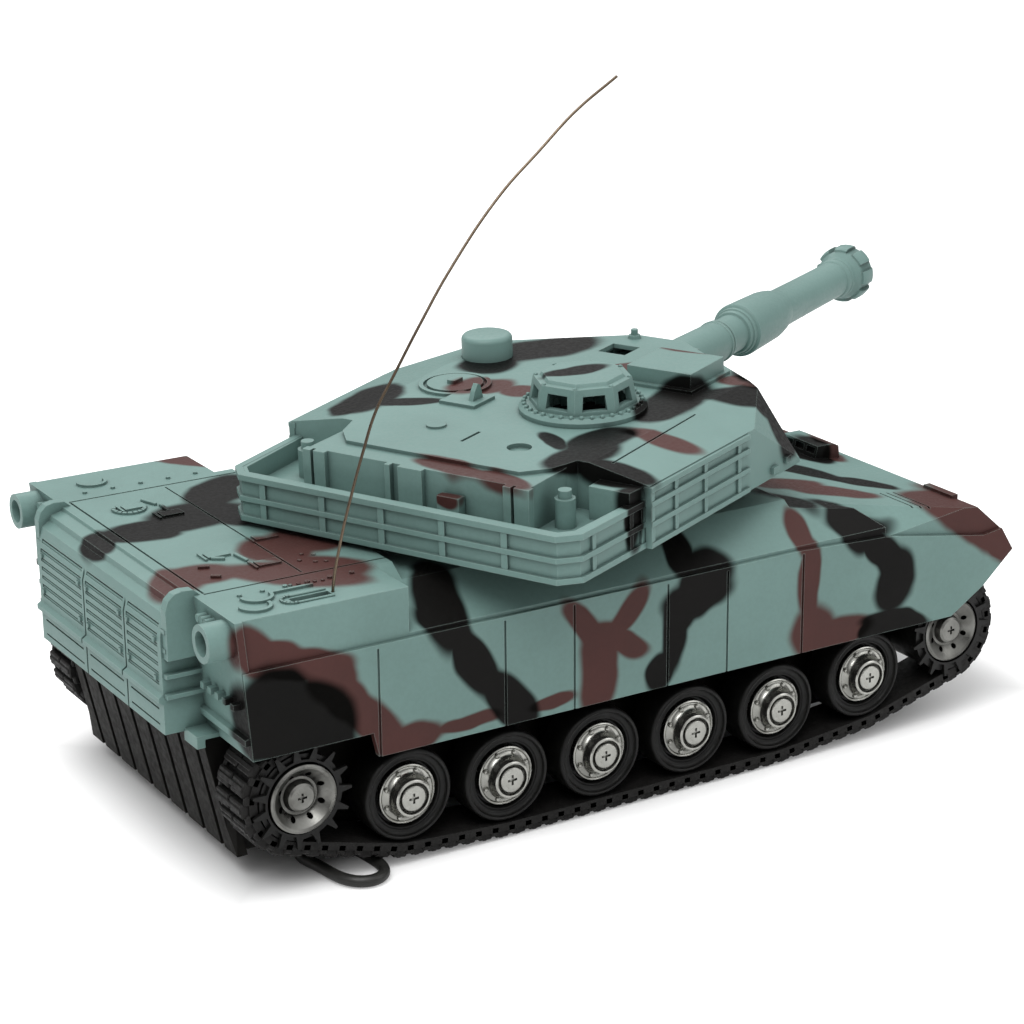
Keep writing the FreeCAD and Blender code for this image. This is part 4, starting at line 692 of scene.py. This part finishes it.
def cross_face(bm, place, segments=72):
    """Hub end face with a sunk plus sign; its rim is a ring of its own."""
    half, arm = CROSS_HALF, CROSS_ARM
    corners = [(half, half), (half, arm), (-half, arm), (-half, half), (-arm, half),
               (-arm, -half), (-half, -half), (-half, -arm), (half, -arm), (half, -half),
               (arm, -half), (arm, half)]
    rim = [bm.verts.new(place @ polar(HUB_RADIUS, 2 * math.pi * k / segments, HUB_FACE))
           for k in range(segments)]
    upper = [bm.verts.new(place @ mm(x, y, HUB_FACE)) for x, y in corners]
    lower = [bm.verts.new(place @ mm(x, y, HUB_FACE - CROSS_DEPTH)) for x, y in corners]
    for i in range(len(corners)):
        j = (i + 1) % len(corners)
        bm.faces.new((upper[i], upper[j], lower[j], lower[i]))
    bm.faces.new(lower)
    edges = []
    for ring in (rim, upper):
        for a, b in zip(ring, ring[1:] + ring[:1]):
            edges.append(bm.edges.get((a, b)) or bm.edges.new((a, b)))
    bmesh.ops.triangle_fill(bm, edges=edges, use_beauty=True)


def tyre_mesh(place, tag):
    bm = bmesh.new()
    lathe(bm, TYRE, place, WHEEL_SEGMENTS)
    return make_mesh("tyre_" + tag, bm, WHEEL, sharp=38)


def cap_mesh(place, side, tag):
    bm = bmesh.new()
    lathe(bm, CAP, place, WHEEL_SEGMENTS)
    cross_face(bm, place)
    for k in range(8):
        centre = place @ polar(6.28, math.pi / 4 * k + math.pi / 8, 59.1)
        stud(bm, centre, (0, side, 0), radius=0.66, height=0.7, segments=14)
    return make_mesh("cap_" + tag, bm, SILVER, sharp=38)


for side, tag in SIDES:
    # local Z points outboard
    outboard = Matrix.Rotation(math.radians(-90 * side), 4, "X")
    tyre = tyre_mesh(outboard, tag)
    cap = cap_mesh(outboard, side, tag)
    for i, (x, z) in enumerate(ROAD_WHEELS, 1):
        suffix = "%s_%d" % (tag, i)
        body = "road_wheel_" + suffix
        centre = mm(x, 0, z + LIFT)
        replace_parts(add_piece("tyre_" + suffix, tyre, body, centre), body)
        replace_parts(add_piece("cap_" + suffix, cap, body, centre),
                    "wheel_cap_" + suffix)

# ------------------------------------------------------------------ aerial
AERIAL_Y = -56.5
AERIAL_RADIUS = 0.36
# x, z from the foot up
AERIAL = [
    (-83.9, 66.0), (-83.9, 71.3), (-81.3, 84.1), (-78.0, 95.2), (-74.6, 105.2), (-71.1, 114.1),
    (-66.0, 122.2), (-58.1, 134.4), (-50.4, 145.4), (-36.5, 161.6), (-25.4, 171.1),
    (-15.6, 179.2), (-3.7, 186.6),
]


def make_aerial():
    curve = bpy.data.curves.new("aerial", "CURVE")
    curve.dimensions = "3D"
    curve.bevel_depth = AERIAL_RADIUS * MM
    curve.bevel_resolution = 5
    curve.resolution_u = 10
    curve.use_fill_caps = True
    spline = curve.splines.new("BEZIER")
    spline.bezier_points.add(len(AERIAL) - 1)
    for point, (x, z) in zip(spline.bezier_points, AERIAL):
        point.co = mm(x, AERIAL_Y, z + LIFT)
        point.handle_left_type = point.handle_right_type = "AUTO"
    curve.materials.append(WIRE)
    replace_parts(add_piece("aerial", curve, "hull"), "antenna_wire")


make_aerial()

# ------------------------------------------------------------------ gun barrel
GUN_AXIS = 86.8               # height of the bore, in turret heights
# Outlines: radius, distance along the gun from the turret pivot axis.
BARREL = [
    (0.0, 32.2), (4.0, 32.2), (4.0, 44.0), (6.3, 44.0), (6.28, 50.0), (6.05, 62.0), (5.95, 66.0),
    (6.3, 66.3), (6.3, 67.0), (5.8, 67.2), (5.8, 67.7), (6.15, 67.9), (6.15, 68.6), (5.6, 68.9),
    (5.6, 76.8), (6.3, 77.1), (6.55, 77.7), (6.55, 78.3), (7.0, 78.5), (7.15, 79.0), (7.15, 79.5),
    (7.6, 79.7), (8.0, 80.2), (8.05, 81.0), (7.85, 88.0), (7.6, 97.0), (7.35, 99.0), (6.9, 101.5),
    (6.2, 104.3), (5.9, 105.3), (5.75, 120.0), (5.65, 142.6), (6.0, 142.9), (6.25, 143.4),
    (6.25, 144.4), (6.0, 144.8), (6.0, 145.3), (6.3, 145.7), (6.3, 147.3), (6.6, 147.8),
    (7.3, 148.6), (7.6, 149.2), (7.6, 156.2), (7.3, 156.9), (6.6, 157.35), (5.0, 157.35),
    (4.2, 157.0), (3.7, 156.2), (3.6, 154.0), (3.6, 120.0), (0.0, 120.0),
]
MUZZLE_LUG = [(7.0, 149.0), (8.3, 149.2), (8.7, 149.8), (8.9, 150.8), (8.9, 154.0), (8.7, 155.0),
              (8.0, 156.2), (7.0, 156.2)]
LUG_HALF_ANGLE = math.radians(14.2)


def make_gun():
    # local Z runs along the gun
    place = (TURRET @ Matrix.Translation(mm(0, 0, GUN_AXIS))
             @ Matrix.Rotation(math.radians(90), 4, "Y"))
    bm = bmesh.new()
    lathe(bm, BARREL, place, 96)
    for k in range(8):
        centre = math.radians(45 * k)
        sector(bm, MUZZLE_LUG, place, centre - LUG_HALF_ANGLE, centre + LUG_HALF_ANGLE, 8)
    mesh = make_mesh("gun_tube", bm, TEAL_PLASTIC, sharp=28)
    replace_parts(add_piece("gun_tube", mesh, "gun"), "gun_barrel")


make_gun()

# ------------------------------------------------------------------ push button
BUTTON = (-1.9, 34.4)         # turret x, y
# radius, turret height: stem, skirt with a flange, rounded crown
BUTTON_OUTLINE = [
    (0.0, 90.0), (2.0, 90.0), (2.0, 101.4), (5.8, 101.4), (5.8, 91.8), (8.4, 91.8), (8.4, 93.0),
    (7.1, 93.0), (7.1, 101.6), (7.02, 102.0), (6.8, 102.4), (6.45, 102.75), (6.0, 102.94),
    (5.5, 103.0), (0.0, 103.0),
]


def make_button():
    bm = bmesh.new()
    lathe(bm, BUTTON_OUTLINE, TURRET @ Matrix.Translation(mm(*BUTTON, 0)), 72)
    mesh = make_mesh("button_cap", bm, TEAL_PLASTIC, sharp=40)
    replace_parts(add_piece("button_cap", mesh, "fire_button"), "fire_button")


make_button()

# ------------------------------------------------------------------ cupola studs
# count, first place in steps, ring radius, height above the roof, stud radius
CUPOLA_RINGS = [(36, 0.0, 15.4, 2.45, 0.62), (8, 0.5, 12.3, 8.95, 0.6)]


def make_cupola_beads():
    bm = bmesh.new()
    place = TURRET @ Matrix.Translation(mm(*CUPOLA, 0))
    up = TURRET.to_3x3() @ Vector((0, 0, 1))
    for count, first, ring_radius, height, radius in CUPOLA_RINGS:
        for k in range(count):
            angle = 2 * math.pi * (k + first) / count
            stud(bm, place @ polar(ring_radius, angle, ROOF + height), up, radius, 0.5)
    mesh = make_mesh("cupola_beads", bm, TURRET_CAMO, sharp=40)
    add_piece("cupola_beads", mesh, "turret")


make_cupola_beads()

# ------------------------------------------------------------------ deck and rear fittings
# short raised bars: start x, y, end x, y
DECK_BARS = [
    ((-104.0, -24.2), (-101.3, -25.3)), ((-98.5, -20.1), (-95.6, -22.0)),
    ((-92.2, -20.2), (-91.6, -26.3)), ((-104.1, -31.8), (-101.9, -33.2)),
    ((-94.1, 32.2), (-92.2, 26.7)), ((-91.4, 26.2), (-91.9, 19.6)),
]
DECK_STUDS = [(-80.5, -32.5), (-78.0, -28.6), (-75.6, -30.4), (-77.6, -35.4), (-75.2, -36.4)]
STUD_ROW = ((-90.5, -47.3), (-82.2, -48.2))     # ends of a row of small studs
# raised lip round the aerial slot: two bars and a half-round rear end
SLOT_REAR, SLOT_FRONT = -94.8, -84.6
SLOT_Y, SLOT_RADIUS = -56.55, 2.45
# slats on the rear plate: y ranges of the three groups
SLAT_GROUPS = ((-37.6, -17.6), (-16.4, 8.0), (9.2, 37.6))
SLAT_COUNT, SLAT_PITCH, SLAT_LOWEST = 7, 2.45, 49.2
REAR_X = -121.0
REAR_BEND, REAR_SLOPE = 62.0, 0.25      # above this height the slats step forward


def deck_bar(bm, start, end, half=0.45, height=0.8):
    run = Vector((end[0] - start[0], end[1] - start[1], 0))
    place = (Matrix.Translation(mm(*start, DECK))
             @ Matrix.Rotation(math.atan2(run.y, run.x), 4, "Z"))
    block(bm, (0, -half, -0.3), (run.length, half, height), place, 0.2)


def arc_of_ribs(bm, centre, radius, start, end, count, half, height):
    """Short blocks set round an arc given in degrees, with gaps between them."""
    half_length = radius * math.radians(end - start) / (count - 1) * 0.62
    for k in range(count):
        angle = math.radians(start + (end - start) * k / (count - 1))
        middle = mm(centre[0] + radius * math.cos(angle),
                    centre[1] + radius * math.sin(angle), DECK)
        place = Matrix.Translation(middle) @ Matrix.Rotation(angle + math.pi / 2, 4, "Z")
        block(bm, (-half_length, -half, -0.3), (half_length, half, height), place)


def add_slats(bm):
    for y0, y1 in SLAT_GROUPS:
        for k in range(SLAT_COUNT):
            height = SLAT_LOWEST + SLAT_PITCH * k
            x = REAR_X + max(0.0, height - REAR_BEND) * REAR_SLOPE
            z = height + LIFT
            block(bm, (x + 0.2, y0 + 0.7, z - 0.1), (x + 1.4, y1 - 0.7, z + 0.52), bevel=0.12)


def make_deck_fittings():
    bm = bmesh.new()
    up = (0, 0, 1)
    for start, end in DECK_BARS:
        deck_bar(bm, start, end)
    arc_of_ribs(bm, (-99.6, 27.4), 4.0, 150, 330, count=10, half=0.5, height=0.6)
    for y in (SLOT_Y - SLOT_RADIUS, SLOT_Y + SLOT_RADIUS):
        deck_bar(bm, (SLOT_REAR, y), (SLOT_FRONT, y), half=0.35, height=0.5)
    arc_of_ribs(bm, (SLOT_REAR, SLOT_Y), SLOT_RADIUS, 90, 270, count=9, half=0.35, height=0.5)
    for x, y in DECK_STUDS:
        stud(bm, mm(x, y, DECK), up, radius=0.6, height=0.5)
    (x0, y0), (x1, y1) = STUD_ROW
    for k in range(5):
        centre = mm(x0 + (x1 - x0) * k / 4, y0 + (y1 - y0) * k / 4, DECK)
        stud(bm, centre, up, radius=0.55, height=0.5)
    add_slats(bm)
    mesh = make_mesh("deck_fittings", bm, HULL_CAMO, sharp=30)
    add_piece("deck_fittings", mesh, "hull")


make_deck_fittings()

# ------------------------------------------------------------------ floor
# The floor glows to the camera beyond a rectangle round the tank (metres).
CLEAR_X, CLEAR_HALF_X, CLEAR_HALF_Y, CLEAR_FADE = 0.015, 0.115, 0.045, 0.03
GLOW = 0.5


def floor_material():
    nodes = MaterialNodes("floor_paper")
    grain = nodes.noise(scale=60, detail=3.0, roughness=0.6)
    nodes.set("Base Color", nodes.mix(grain, (0.80, 0.80, 0.80, 1), (0.84, 0.84, 0.84, 1)))
    nodes.set("Roughness", 0.9)
    nodes.set("Specular IOR Level", 0.0)
    nodes.set("Emission Color", (1, 1, 1, 1))
    camera_ray = nodes.node("ShaderNodeLightPath").outputs["Is Camera Ray"]
    x, y, _ = nodes.split(nodes.coord)
    from_middle = nodes.calc("ABSOLUTE", nodes.calc("SUBTRACT", x, CLEAR_X))
    beyond_x = nodes.calc("SUBTRACT", from_middle, CLEAR_HALF_X)
    beyond_y = nodes.calc("SUBTRACT", nodes.calc("ABSOLUTE", y), CLEAR_HALF_Y)
    beyond = nodes.calc("MAXIMUM", beyond_x, beyond_y)
    glow = nodes.ramp(beyond, span=(0.0, CLEAR_FADE), to=(0.0, GLOW))
    nodes.set("Emission Strength", nodes.calc("MULTIPLY", camera_ray, glow))
    return nodes.material


bpy.ops.mesh.primitive_plane_add(size=30.0, location=(0, 0, -0.0002))
floor = bpy.context.object
floor.name = "floor"
floor.data.materials.append(floor_material())

# ------------------------------------------------------------------ world


def make_world():
    """White sky, brighter overhead; the camera sees it at full strength or more."""
    world = bpy.data.worlds.new("studio")
    world.use_nodes = True
    nodes = Nodes(world.node_tree)
    output = nodes.node("ShaderNodeOutputWorld")
    background = nodes.node("ShaderNodeBackground")
    direction = nodes.node("ShaderNodeTexCoord").outputs["Generated"]
    sky = nodes.ramp(nodes.split(direction)[2], span=(0.05, 0.85), to=(0.13, 1.12))
    camera_ray = nodes.node("ShaderNodeLightPath").outputs["Is Camera Ray"]
    background.inputs[0].default_value = (1.0, 1.0, 1.0, 1.0)
    nodes.feed(background.inputs[1], nodes.calc("MAXIMUM", camera_ray, sky))
    nodes.feed(output.inputs[0], background.outputs[0])
    bpy.context.scene.world = world


make_world()

# ------------------------------------------------------------------ lights (metres, watts)


def area_light(name, position, target, size, energy):
    light = bpy.data.lights.new(name, "AREA")
    light.shape = "RECTANGLE"
    light.size, light.size_y = size
    light.energy = energy
    obj = link_object(name, light)
    obj.location = position
    aim = Vector(target) - Vector(position)
    obj.rotation_euler = aim.to_track_quat("-Z", "Y").to_euler()


area_light("key", position=(-0.55, -0.45, 1.25), target=(0, 0, 0.03), size=(0.9, 0.9), energy=9.5)
area_light("fill", position=(0.9, -0.9, 0.55), target=(0, 0, 0.03), size=(0.6, 0.6), energy=1.2)
area_light("rim", position=(0.2, 1.0, 1.0), target=(0, 0, 0.05), size=(1.2, 0.6), energy=4.0)

# ------------------------------------------------------------------ camera
AZIMUTH = math.radians(-31.0746)        # from -Y; negative swings towards the rear
ELEVATION = math.radians(18.3586)
ROLL = math.radians(-0.5525)
DISTANCE = 0.721342                     # metres from the target
TARGET = mm(0.0037, 0, 60.7715 + LIFT)


def make_camera():
    back = Vector((math.sin(AZIMUTH) * math.cos(ELEVATION),
                   -math.cos(AZIMUTH) * math.cos(ELEVATION), math.sin(ELEVATION)))
    eye = TARGET + back * DISTANCE
    level_right = (-back).cross(Vector((0, 0, 1))).normalized()
    level_up = level_right.cross(-back)
    right = math.cos(ROLL) * level_right + math.sin(ROLL) * level_up
    up = -math.sin(ROLL) * level_right + math.cos(ROLL) * level_up
    camera = bpy.data.cameras.new("camera")
    camera.sensor_width = 36.0
    camera.lens = 93.559078
    camera.clip_start = 0.01
    obj = link_object("camera", camera)
    obj.matrix_world = Matrix((*zip(right, up, back, eye), (0, 0, 0, 1)))
    bpy.context.scene.camera = obj


make_camera()
bpy.context.scene.view_settings.view_transform = "Standard"
